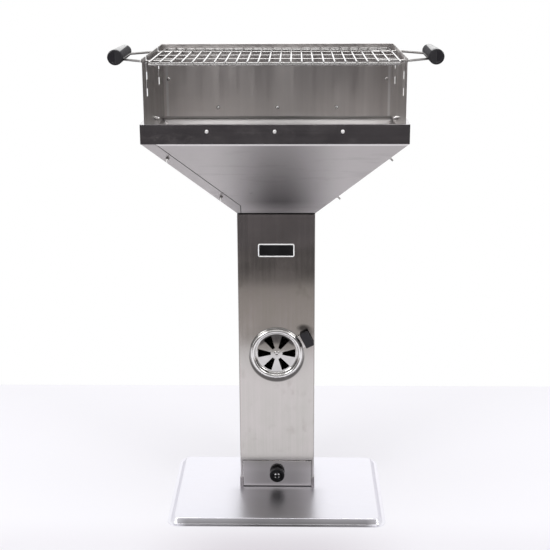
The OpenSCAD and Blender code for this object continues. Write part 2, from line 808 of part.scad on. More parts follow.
// Wing nuts on the bolts of the side walls
module rim_wing_nuts() color([0.75, 0.75, 0.76]) on_axis() for (side = [1, 3]) at_rim_bolts(side)
    translate([0, 0, -rim_grip(side)]) mirror([0, 0, 1]) difference() {
        union() {
            cylinder(h = wing_hub_h, r = wing_hub_r);
            rotate([90, 0, 0]) linear_extrude(wing_t, center = true) for (x = [-1, 1])
                polygon([[0, wing_lift / 2], [x * wing_hub_r, 0], [x * wing_span / 2, wing_lift],
                    [x * wing_span / 2, wing_h], [x * wing_span / 3, wing_h],
                    [x * wing_hub_r, wing_hub_h], [0, wing_hub_h]]);
        }
        translate([0, 0, -cut]) cylinder(h = wing_h + 2 * cut, r = rim_bolt_r);
    }

// Fire walls

module at_corner_screws() {
    for (x = [-1, 1]) translate([x * (wall_out_w - corner_flange / 2 - wall_t),
        wall_out_d - 2 * wall_t, corner_screw_z]) rotate([90, 0, 0]) children();
}

module corner_screw_holes() {
    at_corner_screws() translate([0, 0, -cut - 2 * wall_t])
        cylinder(h = 2 * (wall_t + cut), r = neck_screw_r + hole_gap);
}

module wall_back() color([0.56, 0.54, 0.53]) on_axis() difference() {
    union() {
        translate([-wall_out_w + wall_t + clear / 3, wall_out_d - 2 * wall_t, rim_top - wall_drop])
            cube([2 * (wall_out_w - wall_t - clear / 3), wall_t, wall_drop + wall_h]);
        translate([-wall_out_w + corner_flange + clear, wall_out_d - wall_t, wall_top - hem_h])
            cube([2 * (wall_out_w - corner_flange - clear), wall_t, hem_h]);
    }
    corner_screw_holes();
    rim_bolt_holes();
}

// Slot that takes one leg of a handle: a channel from the top with ledges to its rear, cut a
// little past its floor
module slot_outline() {
    translate([-slot_w / 2, slot_low - cut]) square([slot_w, far]);
    for (i = [0:2]) let (spare = i == 2 ? cut : 0)
        translate([-slot_w / 2, ledge_z - i * ledge_pitch - spare])
            square([slot_w + ledge_l, i == 0 ? far : ledge_clear + spare]);
}

// Part of a side wall's sheet and of the hem along its top, between two depths and two heights
module side_sheet(x, from, to, low, high)
    on_axis() mirror([x < 0 ? 1 : 0, 0, 0]) difference() {
        intersection() {
            union() {
                translate([wall_out_w - wall_t, -wall_out_d, rim_top - wall_drop])
                    cube([wall_t, 2 * wall_out_d, wall_drop + wall_h]);
                translate([wall_out_w, -wall_out_d, wall_top - hem_h])
                    cube([wall_t, 2 * wall_out_d, hem_h]);
            }
            translate([-far, from, low]) cube([2 * far, to - from, high - low]);
        }
        rim_bolt_holes();
    }

// Band of a side wall below its slots
module wall_band(x) color([0.6, 0.58, 0.57]) side_sheet(x, -far, far, 0, slot_low);

// Panel of a side wall before, between or behind its slots
module wall_panel(x, from, to) color([0.6, 0.58, 0.57]) difference() {
    side_sheet(x, from, to, slot_low, far);
    on_axis() mirror([x < 0 ? 1 : 0, 0, 0])
        for (y = [slot_front, slot_back]) translate([wall_out_w, y, 0])
            rotate([90, 0, 90]) linear_extrude(2 * rim_channel, center = true) slot_outline();
}

module wall_left() wall_band(-1);

module wall_left_front() wall_panel(-1, -far, slot_front);

module wall_left_middle() wall_panel(-1, slot_front, slot_back);

module wall_left_back() wall_panel(-1, slot_back, far);

module wall_right() wall_band(1);

module wall_right_front() wall_panel(1, -far, slot_front);

module wall_right_middle() wall_panel(1, slot_front, slot_back);

module wall_right_back() wall_panel(1, slot_back, far);

// Flange along a side wall's back edge, which carries the back wall's corner screws
module corner_fold(x) color([0.6, 0.58, 0.57]) on_axis() mirror([x < 0 ? 1 : 0, 0, 0])
    difference() {
        translate([wall_out_w - corner_flange, wall_out_d - wall_t, rim_top - wall_drop])
            cube([corner_flange - wall_t, wall_t, wall_drop + wall_h]);
        corner_screw_holes();
    }

module flange_left() corner_fold(-1);

module flange_right() corner_fold(1);

module corner_screws() color([0.75, 0.75, 0.76]) on_axis() at_corner_screws()
    bolt(neck_screw_r, 2 * wall_t + seam_nut_h + neck_tail / 2, neck_head_r, neck_head_h);

module corner_nuts() color([0.7, 0.7, 0.71]) on_axis() at_corner_screws()
    translate([0, 0, -2 * wall_t - seam_nut_h]) hex_nut(seam_nut_r, seam_nut_h, neck_screw_r);

// Charcoal grate

// The cross wires reach to the side slopes, and the bars on them to the front and back slopes
coal_bar_z = coal_z + (coal_frame_dia + coal_bar_dia) / 2 - weld;
coal_half_w = slope_out(1, coal_z - coal_frame_dia / 2) - clear;
coal_half_d = slope_out(0, coal_bar_z - coal_bar_dia / 2) - clear;

module charcoal_grate() color([0.6, 0.6, 0.6]) on_axis() {
    for (y = spread(coal_cross_count, 2 * (coal_half_d - coal_inset)))
        rod([-coal_half_w, y, coal_z], [coal_half_w, y, coal_z], coal_frame_dia / 2);
    for (x = spread(coal_bar_count, 2 * (coal_half_w - coal_inset)))
        rod([x, -coal_half_d, coal_bar_z], [x, coal_half_d, coal_bar_z], coal_bar_dia / 2);
}

// Cooking grate

module cooking_grate() color([0.9, 0.9, 0.91]) on_axis() {
    for (x = spread(bar_count, grate_w - bar_dia))
        rod([x, -grate_d / 2, bar_z], [x, grate_d / 2, bar_z], bar_dia / 2);
    for (y = spread(cross_count, grate_d - bar_dia))
        rod([-grate_w / 2, y, cross_z], [grate_w / 2, y, cross_z], bar_dia / 2);
    for (y = [-1, 1]) rod([-grate_w / 2, y * (grate_d - bar_dia) / 2, edge_z],
        [grate_w / 2, y * (grate_d - bar_dia) / 2, edge_z], edge_dia / 2);
}

// Bent wire that runs under the end bars, out through the wall and round through the grip
module handle(x) color([0.88, 0.88, 0.89]) on_axis() mirror([x < 0 ? 1 : 0, 0, 0])
    translate([0, 0, handle_z]) {
        root_x = grate_w / 2 - handle_root;
        bend_x = wall_out_w + handle_bend_x;
        bridge_x = grip_x - wire_inset;
        leg_y = handle_span / 2;
        bridge_y = grip_span / 2;
        lean = atan2(leg_y - bridge_y, bridge_x - bend_x);
        flat_wire(concat([[root_x, -leg_y, 0]], bend(bend_x, -leg_y, 0, lean),
            bend(bridge_x, -bridge_y, lean, 90), bend(bridge_x, bridge_y, 90, 180 - lean),
            bend(bend_x, leg_y, 180 - lean, 180), [[root_x, leg_y, 180]]), handle_dia / 2);
    }

module handle_left() handle(-1);

module handle_right() handle(1);

function grip_outline() = concat(
    [[0, 0], [grip_front_r - grip_round, 0]],
    arc(grip_front_r - grip_round, grip_round, grip_round, -90, 0, 6),
    arc(grip_back_r - grip_round, grip_l - grip_round, grip_round, 0, 90, 6),
    [[0, grip_l]]);

// Tapered grip, grooved on its inner side for the handle's wire
module grip(x) color([0.09, 0.09, 0.1]) on_axis() difference() {
    translate([x * grip_x, -grip_l / 2, grip_z]) rotate([-90, 0, 0])
        rotate_extrude($fn = 72) polygon(grip_outline());
    groove_h = handle_dia + 2 * clear;
    groove_l = grip_span + handle_dia + 2 * groove_spare;
    translate([x * (grip_x - wire_inset - grip_front_r), 0, handle_z])
        cube([2 * grip_front_r + groove_h, groove_l, groove_h], center = true);
}

module grip_left() grip(-1);

module grip_right() grip(1);

base_plate();
base_bolts();
base_nuts();
column_shell();
column_back();
column_rivets();
column_clips();
name_plate_frame();
name_plate_field();
vent_cap();
vent_arm();
vent_tab();
vent_rivet();
drawer_tray();
drawer_knob();
drawer_knob_screw();
runner_left();
runner_right();
funnel_front();
funnel_right();
funnel_back();
funnel_left();
seam_bolts();
seam_nuts();
neck_screws();
neck_nuts();
rim_front();
rim_right();
rim_back();
rim_left();
rim_bolts();
rim_nuts();
rim_wing_nuts();
wall_back();
wall_left();
wall_left_front();
wall_left_middle();
wall_left_back();
wall_right();
wall_right_front();
wall_right_middle();
wall_right_back();
flange_left();
flange_right();
corner_screws();
corner_nuts();
charcoal_grate();
cooking_grate();
handle_left();
handle_right();
grip_left();
grip_right();
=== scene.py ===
"""The looks of a pedestal charcoal grill: sheet steel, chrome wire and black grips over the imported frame."""
import json
import math

import bmesh
import bpy
from mathutils import Matrix, Vector


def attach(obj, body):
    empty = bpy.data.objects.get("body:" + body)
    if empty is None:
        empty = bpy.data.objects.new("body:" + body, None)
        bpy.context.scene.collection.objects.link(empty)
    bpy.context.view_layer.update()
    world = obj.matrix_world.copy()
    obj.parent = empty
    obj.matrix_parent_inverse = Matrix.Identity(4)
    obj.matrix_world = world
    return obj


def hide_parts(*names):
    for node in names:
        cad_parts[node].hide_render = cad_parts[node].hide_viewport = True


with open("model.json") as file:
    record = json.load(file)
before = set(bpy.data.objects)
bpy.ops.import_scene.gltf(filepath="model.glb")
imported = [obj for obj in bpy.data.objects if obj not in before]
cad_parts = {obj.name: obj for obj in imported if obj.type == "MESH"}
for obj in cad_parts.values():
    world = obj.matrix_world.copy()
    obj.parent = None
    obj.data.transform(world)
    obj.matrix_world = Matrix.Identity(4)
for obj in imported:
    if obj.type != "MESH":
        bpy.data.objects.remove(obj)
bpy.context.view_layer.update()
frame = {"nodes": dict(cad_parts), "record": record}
bpy.ops.object.select_all(action="DESELECT")
scene = bpy.context.scene
nodes = frame["nodes"]
slot_of = {part["node"]: part["material_slot"] for part in frame["record"]["subparts"]}
body_of = {node: body for body, members in frame["record"]["behaviour"]["bodies"].items() for node in members}

MM = 0.001


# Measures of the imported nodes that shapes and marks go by, in mm

def span(node, axis):
    """The lowest and highest place of a node along an axis, to a thousandth of a mm."""
    places = [corner.co["XYZ".index(axis)] / MM for corner in nodes[node].data.vertices]
    return round(min(places), 3), round(max(places), 3)


def low(node, axis):
    return span(node, axis)[0]


def high(node, axis):
    return span(node, axis)[1]


def middle(node, axis):
    return round(sum(span(node, axis)) / 2, 3)


SHEET = round(high("column_back", "Y") - low("column_back", "Y"), 3)
AXIS_Y = round((low("column_shell", "Y") + high("column_back", "Y")) / 2, 3)    # the column's centre line
FRONT_Y = low("column_shell", "Y")
COLUMN_X, COLUMN_Y = high("column_shell", "X"), AXIS_Y - FRONT_Y                # half width and half depth
RIM_X, RIM_Z = high("rim_right", "X"), low("rim_front", "Z")                    # half width and lower edge
NECK_LIP = 20.0
NECK_Z = low("funnel_front", "Z") + NECK_LIP
WALL_TOP = high("wall_back", "Z")
KNOB_Z, VENT_Z = middle("drawer_knob", "Z"), middle("vent_cap", "Z")
GRIP_X, GRIP_Z = middle("grip_right", "X"), middle("grip_right", "Z")
HANDLE_Z = middle("handle_left", "Z")
BAR_D, EDGE_D = 3.0, 4.0                                                        # the grate's wires
BAR_Z = high("cooking_grate", "Z") - BAR_D / 2
CROSS_Z, EDGE_Z = BAR_Z - 2.6, BAR_Z - 5.7


# Finishes

class Wiring:
    """Shader nodes of a material or of the world; what draws a node gives back its output."""

    def __init__(self, tree, coordinates):
        self.tree = tree
        self.place = tree.nodes.new("ShaderNodeTexCoord").outputs[coordinates]

    def join(self, out, into):
        self.tree.links.new(out, into)

    def add(self, kind, inputs, out, **settings):
        """A node with its settings and with a constant or another node's output in each named input."""
        node = self.tree.nodes.new("ShaderNode" + kind)
        for key, value in settings.items():
            setattr(node, key, value)
        for key, value in inputs.items():
            if isinstance(value, bpy.types.NodeSocket):
                self.join(value, node.inputs[key])
            else:
                node.inputs[key].default_value = value
        return node.outputs[out]

    def axis(self, name):
        return self.add("SeparateXYZ", {"Vector": self.place}, name)

    def from_middle(self):
        """How far to either side of the grill's middle plane."""
        return self.calc("ABSOLUTE", self.axis("X"))

    def ray(self, kind):
        return self.add("LightPath", {}, kind)

    def noise(self, scale, detail=4.0, rough=0.55, at=(0, 0, 0)):
        """Noise with the given number of patches to a metre along each axis."""
        spot = self.add("Mapping", {"Vector": self.place, "Scale": scale, "Location": at}, "Vector")
        return self.add("TexNoise", {"Vector": spot, "Scale": 1.0, "Detail": detail, "Roughness": rough},
                        "Fac")

    def ramp(self, value, low, high, to_low, to_high, smooth=False):
        """From one number to another while a value goes from low to high."""
        return self.add("MapRange", {"Value": value, "From Min": low, "From Max": high,
                                     "To Min": to_low, "To Max": to_high}, "Result",
                        interpolation_type="SMOOTHSTEP" if smooth else "LINEAR")

    def calc(self, kind, one, two=0.0):
        return self.add("Math", {0: one, 1: two}, "Value", operation=kind)

    def plus(self, value, *others):
        for other in others:
            value = self.calc("ADD", value, other)
        return value

    def times(self, value, *others):
        for other in others:
            value = self.calc("MULTIPLY", value, other)
        return value

    def colours(self, share, first, second):
        """A mix of two colours; the second's share is given."""
        first, second = ((*c, 1.0) if isinstance(c, tuple) else c for c in (first, second))
        return self.add("Mix", {"Factor": share, 6: first, 7: second}, 2, data_type="RGBA")

    def away(self, x, z, half_x=1.0, half_z=1.0):
        """Distance from a point, seen from the front, as a share of an ellipse's half axes; metres."""
        across = self.times(self.calc("SUBTRACT", self.axis("X"), x), 1.0 / half_x)
        height = self.times(self.calc("SUBTRACT", self.axis("Z"), z), 1.0 / half_z)
        return self.calc("POWER", self.plus(self.times(across, across), self.times(height, height)), 0.5)


class Finish(Wiring):
    """One material in the object's coordinates, with its constants on the shader's own sockets."""

    def __init__(self, name, **constants):
        self.material = bpy.data.materials.new(name)
        self.material.use_nodes = True
        super().__init__(self.material.node_tree, "Object")
        self.shader = self.tree.nodes["Principled BSDF"]
        for key, value in constants.items():
            self.shader.inputs[key.replace("_", " ")].default_value = value

    def cover(self, paint, rough, relief, depth):
        """Colour, roughness, and relief whose full height is depth metres."""
        self.join(paint, self.shader.inputs["Base Color"])
        self.join(rough, self.shader.inputs["Roughness"])
        bump = self.add("Bump", {"Height": relief, "Strength": 1.0, "Distance": depth}, "Normal")
        self.join(bump, self.shader.inputs["Normal"])
        return self.material


def sheet_steel(name, colour, dark, rough, grain, depth,
                smudge=0.08, blots=(14, 14, 14), shade=None, uneven=0.2):
    """Rolled sheet: fine streaks along the rolling direction, broad soft clouds and a few rubbed spots."""
    f = Finish(name, Metallic=1.0)
    streaks = f.noise(grain, detail=5.0, rough=0.6)
    clouds = f.noise(blots, detail=3.0, rough=0.5, at=(3.1, 1.7, 0.4))
    rubs = f.noise((70, 70, 70), detail=6.0, rough=0.7, at=(0.3, 9.1, 4.4))
    tone = f.plus(f.times(streaks, 0.45), f.times(clouds, 0.55))
    paint = f.colours(f.ramp(tone, 0.36, 0.64, 0.0, 1.0), dark, colour)
    if shade:
        paint = shade(f, paint)
    spread = f.plus(f.ramp(streaks, 0.3, 0.7, rough * (1.0 - uneven), rough * (1.0 + uneven)),
                    f.ramp(clouds, 0.4, 0.7, 0.0, smudge), f.ramp(rubs, 0.62, 0.72, 0.0, smudge * 0.8))
    return f.cover(paint, spread, f.plus(streaks, f.times(clouds, 0.6)), depth)


def chrome(name, colour, dark, rough, grain=(400, 400, 400), shade=None):
    """Plated wire or trim: bright, a little uneven in its sheen, dulled in spots."""
    f = Finish(name, Metallic=1.0)
    sheen = f.noise(grain, detail=3.0)
    spots = f.noise((60, 60, 60), detail=4.0, at=(1.3, 0.2, 5.0))
    paint = f.colours(f.ramp(spots, 0.4, 0.62, 0.0, 1.0), colour, dark)
    if shade:
        paint = shade(f, paint)
    return f.cover(paint, f.ramp(sheen, 0.3, 0.7, rough * 0.7, rough * 1.5), f.plus(sheen, spots), 0.000004)


def moulded(name, colour, worn, rough, coat, shine=0.5, dull=None):
    """Moulded plastic or enamel: fine orange peel, rubbed patches and maybe a dull part."""
    f = Finish(name, Coat_Weight=coat, Coat_Roughness=0.06, IOR=1.5, Specular_IOR_Level=shine)
    peel = f.noise((900, 900, 900), detail=2.0)
    rubs = f.noise((45, 45, 45), detail=5.0, rough=0.65, at=(2.0, 5.0, 1.0))
    paint = f.colours(f.ramp(rubs, 0.5, 0.75, 0.0, 1.0), colour, worn)
    spread = f.plus(f.ramp(rubs, 0.4, 0.7, rough, rough * 1.7), f.ramp(peel, 0.3, 0.7, 0.0, 0.05))
    if dull:
        spread = f.plus(spread, dull(f))
    return f.cover(paint, spread, f.plus(peel, f.times(rubs, 0.5)), 0.000004)


# Marks, tones and painted light and shade of each kind of steel: places in metres, and the share of a second
# colour that they bring

SHADOW_DARK = (0.02, 0.018, 0.018)
GAP_SHADE_BLACK = (0.004, 0.004, 0.004)
MIDDLE_SHADE_DARK = (0.045, 0.041, 0.042)
SHADE_GREY = (0.1, 0.095, 0.09)
GREASE = (0.36, 0.335, 0.3)
WHITE = (1.0, 1.0, 1.0)


def column_grease_and_shade(f, paint):
    """Grease spots, and painted light and shade: a shadow under the vent and its tab's reflection, bands up
    the column, a lighter foot, darker side bends and a black joint at its foot.
    """
    # Painted shadow under the vent cap and painted reflection of its tab, on the front only
    for x, z, half_x, half_z, soft, share in (
            (0.0, -0.008, 0.061, 0.061, 0.03, 0.85),        # painted shadow: the crescent under the cap
            (0.0595, 0.0585, 0.012, 0.0075, 0.6, 0.85),     # painted reflection of the tab, above it
            (0.073, 0.048, 0.008, 0.012, 0.7, 0.5),         # painted reflection of the tab, beside it
            (0.0, 0.002, 0.075, 0.069, 0.3, 0.1)):          # painted shade: a faint dark ring round the cap
        away = f.away(x, VENT_Z * MM + z, half_x, half_z)
        mark = f.ramp(away, 1.0 - soft, 1.0 + soft, 1.0, 0.0, smooth=True)
        on_front = f.ramp(f.axis("Y"), -0.04, -0.02, share, 0.0)
        paint = f.colours(f.times(mark, on_front), paint, SHADOW_DARK)
    spots = f.ramp(f.noise((34, 34, 26), at=(5.0, 2.0, 8.0)), 0.58, 0.72, 0.0, 0.28)
    paint = f.colours(spots, paint, GREASE)
    height = f.axis("Z")
    # Painted light: the column's foot painted lighter
    painted_light_foot = f.ramp(height, 0.055, 0.085, 0.92, 0.0)
    paint = f.colours(painted_light_foot, paint, (0.95, 0.92, 0.92))
    # Painted reflection: a darker band, and a lighter band above it
    painted_dark_band = f.times(f.ramp(height, 0.485, 0.515, 0.0, 0.24, smooth=True),
                        f.ramp(height, 0.53, 0.56, 1.0, 0.0, smooth=True))
    paint = f.colours(painted_dark_band, paint, SHADE_GREY)
    painted_bright_band = f.ramp(height, 0.565, 0.6, 0.0, 0.3, smooth=True)
    paint = f.colours(painted_bright_band, paint, (0.95, 0.9, 0.92))
    # Painted shade: the side bends painted darker, dimming their reflection
    side_bend_shade = f.ramp(f.from_middle(), (COLUMN_X - 2.8) * MM, (COLUMN_X - SHEET) * MM, 0.0, 0.38)
    paint = f.colours(side_bend_shade, paint, SHADE_GREY)
    # Painted shade: the gap at the column's foot painted black
    foot_gap_shade = f.ramp(height, 0.0135, 0.0142, 0.95, 0.0)
    return f.colours(foot_gap_shade, paint, GAP_SHADE_BLACK)


def handled_side(f):
    """The grips are rubbed dull on their inner side, up to near the top."""
    inward = f.ramp(f.from_middle(), 0.329, 0.332, 0.75, 0.0, smooth=True)
    return f.times(inward, f.ramp(f.axis("Z"), 1.0046, 1.0064, 1.0, 0.0, smooth=True))


def foot_shade(f, paint):
    """Painted shade: the plate is darkened in front of the column's foot, and its front edge is painted greyer
    than the rest.
    """
    sideways, depth = f.from_middle(), f.axis("Y")
    # Painted shade in front of the column's foot, where the column reflects in the plate
    near = f.ramp(sideways, 0.03, 0.12, 0.6, 0.0, smooth=True)
    ahead = f.times(f.ramp(depth, -0.06, -0.035, 1.0, 0.0, smooth=True), f.ramp(depth, -0.19, -0.1, 0.6, 1.0))
    paint = f.colours(f.times(near, ahead), paint, (0.12, 0.115, 0.12))
    # Painted shade: the front edge band greyer
    edge = f.times(f.ramp(depth, -0.1865, -0.179, 0.72, 0.4), f.ramp(sideways, 0.195, 0.225, 1.0, 0.0),
                   f.ramp(depth, -0.1792, -0.1782, 1.0, 0.0))
    return f.colours(edge, paint, (0.115, 0.11, 0.108))


def vent_tone_and_shade(f, paint):
    """The vent's disc is darker than the ring round it, and the ring's outer shoulder is painted dark as
    shade; seen from its own axis, so the same at each turn.
    """
    away = f.away(0.0, VENT_Z * MM)
    paint = f.colours(f.ramp(away, 0.044, 0.0465, 0.5, 0.0), paint, (0.42, 0.41, 0.4))
    # Painted shade: the ring's outer shoulder darker
    return f.colours(f.ramp(away, 0.0572, 0.058, 0.0, 0.7), paint, (0.16, 0.155, 0.15))


def rim_tint(f, paint):
    """Paler rubbed clouds on the rim, most of all at its left end."""
    clouds = f.ramp(f.noise((24, 24, 34), at=(1.0, 4.0, 2.0)), 0.5, 0.66, 0.0, 1.0, smooth=True)
    leftward = f.ramp(f.axis("X"), -0.25, -0.08, 0.5, 0.14)
    return f.colours(f.times(clouds, leftward), paint, (0.9, 0.87, 0.86))


def wall_painted_light(f, paint):
    """Painted light: the back wall's left half painted brightest, light streaks painted as reflections by its
    corners, and the left wall's inside painted the darkest, as shade.
    """
    across = f.axis("X")
    behind = f.ramp(f.axis("Y"), 0.17, 0.185, 0.0, 1.0)
    # Painted light: the back wall brighter towards its left
    bright = f.times(behind, f.ramp(across, -0.1, 0.16, 0.85, 0.42))
    paint = f.colours(bright, paint, (0.92, 0.88, 0.86))
    # Painted reflections: light streaks beside the back wall's corners
    for corner_x in (-0.2525, 0.2555):
        off_corner = f.calc("ABSOLUTE", f.calc("SUBTRACT", across, corner_x))
        streak = f.times(f.ramp(off_corner, 0.001, 0.0045, 0.9, 0.0, smooth=True), behind,
                         f.ramp(f.axis("Z"), 0.93, 0.97, 1.0, 0.2))
        paint = f.colours(streak, paint, WHITE)
    # Painted shade: the left wall's inside darker
    left_inside_shade = f.ramp(across, -0.2612, -0.2606, 0.75, 0.0)
    return f.colours(left_inside_shade, paint, (0.2, 0.19, 0.185))


def funnel_smears_and_shade(f, paint):
    """The funnel has random smears, painted shade down its middle and round its neck, a painted shadow along a
    seam, a painted fold highlight and its neck lip painted black as shade.
    """
    height = f.axis("Z")
    smears = f.ramp(f.noise((8, 8, 70), at=(2.0, 7.0, 3.0)), 0.56, 0.7, 0.0, 0.3)
    paint = f.colours(smears, paint, (0.3, 0.28, 0.28))
    off_middle = f.calc("ABSOLUTE", f.calc("SUBTRACT", f.axis("X"), 0.008))
    # Painted shade: darker down the middle and towards the neck
    middle_shade = f.times(f.ramp(off_middle, 0.006, 0.15, 1.0, 0.0, smooth=True),
                    f.ramp(height, 0.685, 0.84, 0.92, 0.42), f.ramp(height, 0.668, 0.69, 0.72, 1.0))
    paint = f.colours(middle_shade, paint, MIDDLE_SHADE_DARK)
    ahead = f.ramp(f.axis("Y"), -0.02, -0.01, 1.0, 0.0)
    # Past the cut edge of the left flange: a line up the funnel's slope, and near the neck an upright one
    flange_w, rim_sheet = 27.0, 1.0
    neck_x, top_x = COLUMN_X - 2 * SHEET, RIM_X - rim_sheet - 2 * SHEET
    slope = (top_x - neck_x) / (RIM_Z - NECK_Z)
    past_flange = f.plus(f.plus(f.axis("X"), (neck_x - flange_w) * MM),
                         f.times(f.calc("SUBTRACT", height, NECK_Z * MM), slope))
    past_seam = f.calc("MAXIMUM", past_flange, f.plus(f.axis("X"), -high("funnel_left", "X") * MM))
    # Painted shadow just past the flange's cut edge
    seam = f.times(f.ramp(past_seam, 0.0, 0.0003, 0.0, 0.9), f.ramp(past_seam, 0.0014, 0.0022, 1.0, 0.0),
                   ahead)
    paint = f.colours(seam, paint, (0.02, 0.02, 0.02))
    # Painted highlight along the fold at the funnel's top
    fold = f.times(f.ramp(height, 0.8256, 0.827, 0.0, 0.75), f.ramp(past_seam, 0.0, 0.001, 0.0, 1.0), ahead)
    paint = f.colours(fold, paint, (0.8, 0.78, 0.77))
    back_top = f.times(f.ramp(f.axis("Y"), 0.15, 0.17, 0.0, 0.28), f.ramp(height, 0.812, 0.822, 0.0, 1.0))
    paint = f.colours(back_top, paint, (0.9, 0.88, 0.87))
    # Painted shade: the neck lip painted black where it enters the column
    neck_gap_shade = f.ramp(height, (NECK_Z - 0.3) * MM, (NECK_Z + 0.6) * MM, 1.0, 0.0)
    return f.colours(neck_gap_shade, paint, GAP_SHADE_BLACK)


finishes = {
    "mirror_steel": sheet_steel(
        "pressed_plate_steel", (0.8, 0.795, 0.85), (0.78, 0.77, 0.82), 0.33, (30, 90, 90), 0.0000005,
        smudge=0.03, blots=(9, 9, 9), shade=foot_shade, uneven=0.04),
    "column_steel": sheet_steel(
        "column_steel", (0.6, 0.565, 0.55), (0.53, 0.515, 0.485), 0.12, (240, 240, 2.5), 0.000002,
        smudge=0.05, blots=(16, 16, 12), shade=column_grease_and_shade),
    "funnel_steel": sheet_steel(
        "funnel_steel", (0.485, 0.465, 0.46), (0.445, 0.425, 0.42), 0.34, (2.5, 260, 260), 0.000003,
        shade=funnel_smears_and_shade),
    "rim_steel": sheet_steel(
        "rim_steel", (0.46, 0.44, 0.45), (0.37, 0.36, 0.375), 0.14, (3, 300, 300), 0.000002,
        blots=(16, 16, 40), shade=rim_tint),
    "wall_steel": sheet_steel(
        "wall_steel", (0.66, 0.63, 0.615), (0.48, 0.455, 0.445), 0.33, (60, 60, 2.2), 0.000003,
        smudge=0.12, blots=(18, 18, 3), shade=wall_painted_light),
    "chrome_wire": chrome("chrome_wire", (0.9, 0.89, 0.89), (0.82, 0.81, 0.8), 0.12),
    "cross_wire": chrome("cross_wire", (0.52, 0.51, 0.505), (0.44, 0.43, 0.42), 0.25),
    "handle_wire": chrome("handle_wire", (0.38, 0.37, 0.365), (0.32, 0.31, 0.3), 0.3),
    "charcoal_wire": chrome("charcoal_wire", (0.7, 0.69, 0.68), (0.5, 0.48, 0.47), 0.3),
    "bright_trim": chrome("bright_trim", (0.86, 0.85, 0.85), (0.8, 0.79, 0.79), 0.1, grain=(60, 500, 60)),
    "zinc": chrome("zinc_plate", (0.78, 0.77, 0.76), (0.6, 0.59, 0.58), 0.22),
    "bolt_white": chrome("polished_bolt", (0.98, 0.97, 0.97), (0.95, 0.94, 0.94), 0.6),
    "nut_steel": chrome("nut_steel", (0.4, 0.385, 0.38), (0.3, 0.29, 0.285), 0.24),
    "dark_clip": chrome("clip_steel", (0.52, 0.49, 0.5), (0.4, 0.38, 0.39), 0.4),
    "vent_steel": chrome("vent_steel", (0.84, 0.83, 0.82), (0.74, 0.73, 0.72), 0.12, shade=vent_tone_and_shade),
    "plate_bead": moulded("plate_bead", (0.96, 0.96, 0.96), (0.9, 0.9, 0.9), 0.2, 0.6),
    "knob_black": moulded("knob_black", (0.004, 0.004, 0.005), (0.009, 0.009, 0.01), 0.1, 0.0, shine=0.3),
    "black_field": moulded("plate_enamel", (0.006, 0.006, 0.007), (0.01, 0.01, 0.011), 0.3, 0.0, shine=0.25),
    "black_plastic": moulded("grip_black", (0.02, 0.019, 0.022), (0.032, 0.031, 0.034), 0.12, 0.0,
                             dull=handled_side),
}


def dress(obj, finish):
    """Gives a piece one finish, in place of what it came with."""
    obj.data.materials.clear()
    obj.data.materials.append(finishes[finish])


for name, obj in nodes.items():
    dress(obj, slot_of[name])


# Bench work: small helpers for shaping

SAME_SPOT = 1e-6            # corners nearer than this are merged, in metres
STRAIGHT = 1e-5             # edges whose ends differ less than this lie level or stand upright, in metres
FLAT = math.radians(0.8)    # faces that meet at less than this are one flat face


def pick_up(*objs):
    """Selects these alone; the last becomes the active one."""
    bpy.ops.object.select_all(action="DESELECT")
    for obj in objs:
        obj.select_set(True)
    bpy.context.view_layer.objects.active = objs[-1]


def open_up(obj=None):
    """Starts editing the piece, or the one just added, with all its corners selected."""
    if obj:
        pick_up(obj)
    bpy.ops.object.mode_set(mode="EDIT")
    bpy.ops.mesh.select_mode(type="VERT")
    bpy.ops.mesh.select_all(action="SELECT")


def close_up():
    bpy.ops.mesh.select_mode(type="VERT")
    bpy.ops.object.mode_set(mode="OBJECT")


def pick_edges(obj, test):
    """Selects the bent edges whose two ends and bend in degrees pass the test; tells if there are any."""
    least_bend = 15.0
    bpy.ops.mesh.select_all(action="DESELECT")
    bpy.ops.mesh.select_mode(type="EDGE")
    work = bmesh.from_edit_mesh(obj.data)
    picked = False
    for edge in work.edges:
        if len(edge.link_faces) == 2:
            bend = math.degrees(edge.calc_face_angle(0.0))
            if bend > least_bend and test(edge.verts[0].co, edge.verts[1].co, bend):
                edge.select_set(True)
                picked = True
    bmesh.update_edit_mesh(obj.data)
    return picked


def shape(obj, kind, **values):
    """Adds a modifier and applies it."""
    pick_up(obj)
    modifier = obj.modifiers.new(kind.title(), kind)
    for key, value in values.items():
        setattr(modifier, key, value)
    bpy.ops.object.modifier_apply(modifier=modifier.name)


def finished(obj, angle=40.0):
    """Merged, faces outward, smooth but for its edges, with its place in its mesh."""
    pick_up(obj)
    bpy.ops.object.transform_apply(location=True, rotation=True, scale=True)
    open_up(obj)
    bpy.ops.mesh.remove_doubles(threshold=SAME_SPOT)
    bpy.ops.mesh.normals_make_consistent(inside=False)
    close_up()
    bpy.ops.object.shade_smooth_by_angle(angle=math.radians(angle))
    obj.select_set(False)
    return obj


def even_shade(obj, angle):
    """Smooth shading up to an angle, with flat faces kept flat up to their rounded edges."""
    pick_up(obj)
    bpy.ops.object.shade_smooth_by_angle(angle=math.radians(angle))
    shape(obj, "WEIGHTED_NORMAL", mode="FACE_AREA", weight=100, keep_sharp=True)
    obj.select_set(False)


def fit(obj, node, *others, finish=None, dressed=False):
    """Puts a finished piece in place of CAD nodes, on the body of the first."""
    if not dressed:
        dress(obj, finish or slot_of[node])
    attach(obj, body_of[node])
    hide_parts(node, *others)
    obj.select_set(False)
    return obj


def doubled(obj, matrix, name):
    """A copy with its own mesh, moved by a matrix."""
    new = obj.copy()
    new.data = obj.data.copy()
    new.name = name
    scene.collection.objects.link(new)
    return put(new, matrix)


def fused(name, objs):
    """Several objects joined in one piece."""
    pick_up(*objs)
    bpy.ops.object.join()
    obj = bpy.context.object
    obj.name = name
    obj.data.name = name
    return obj


def remove(obj):
    bpy.data.objects.remove(obj)


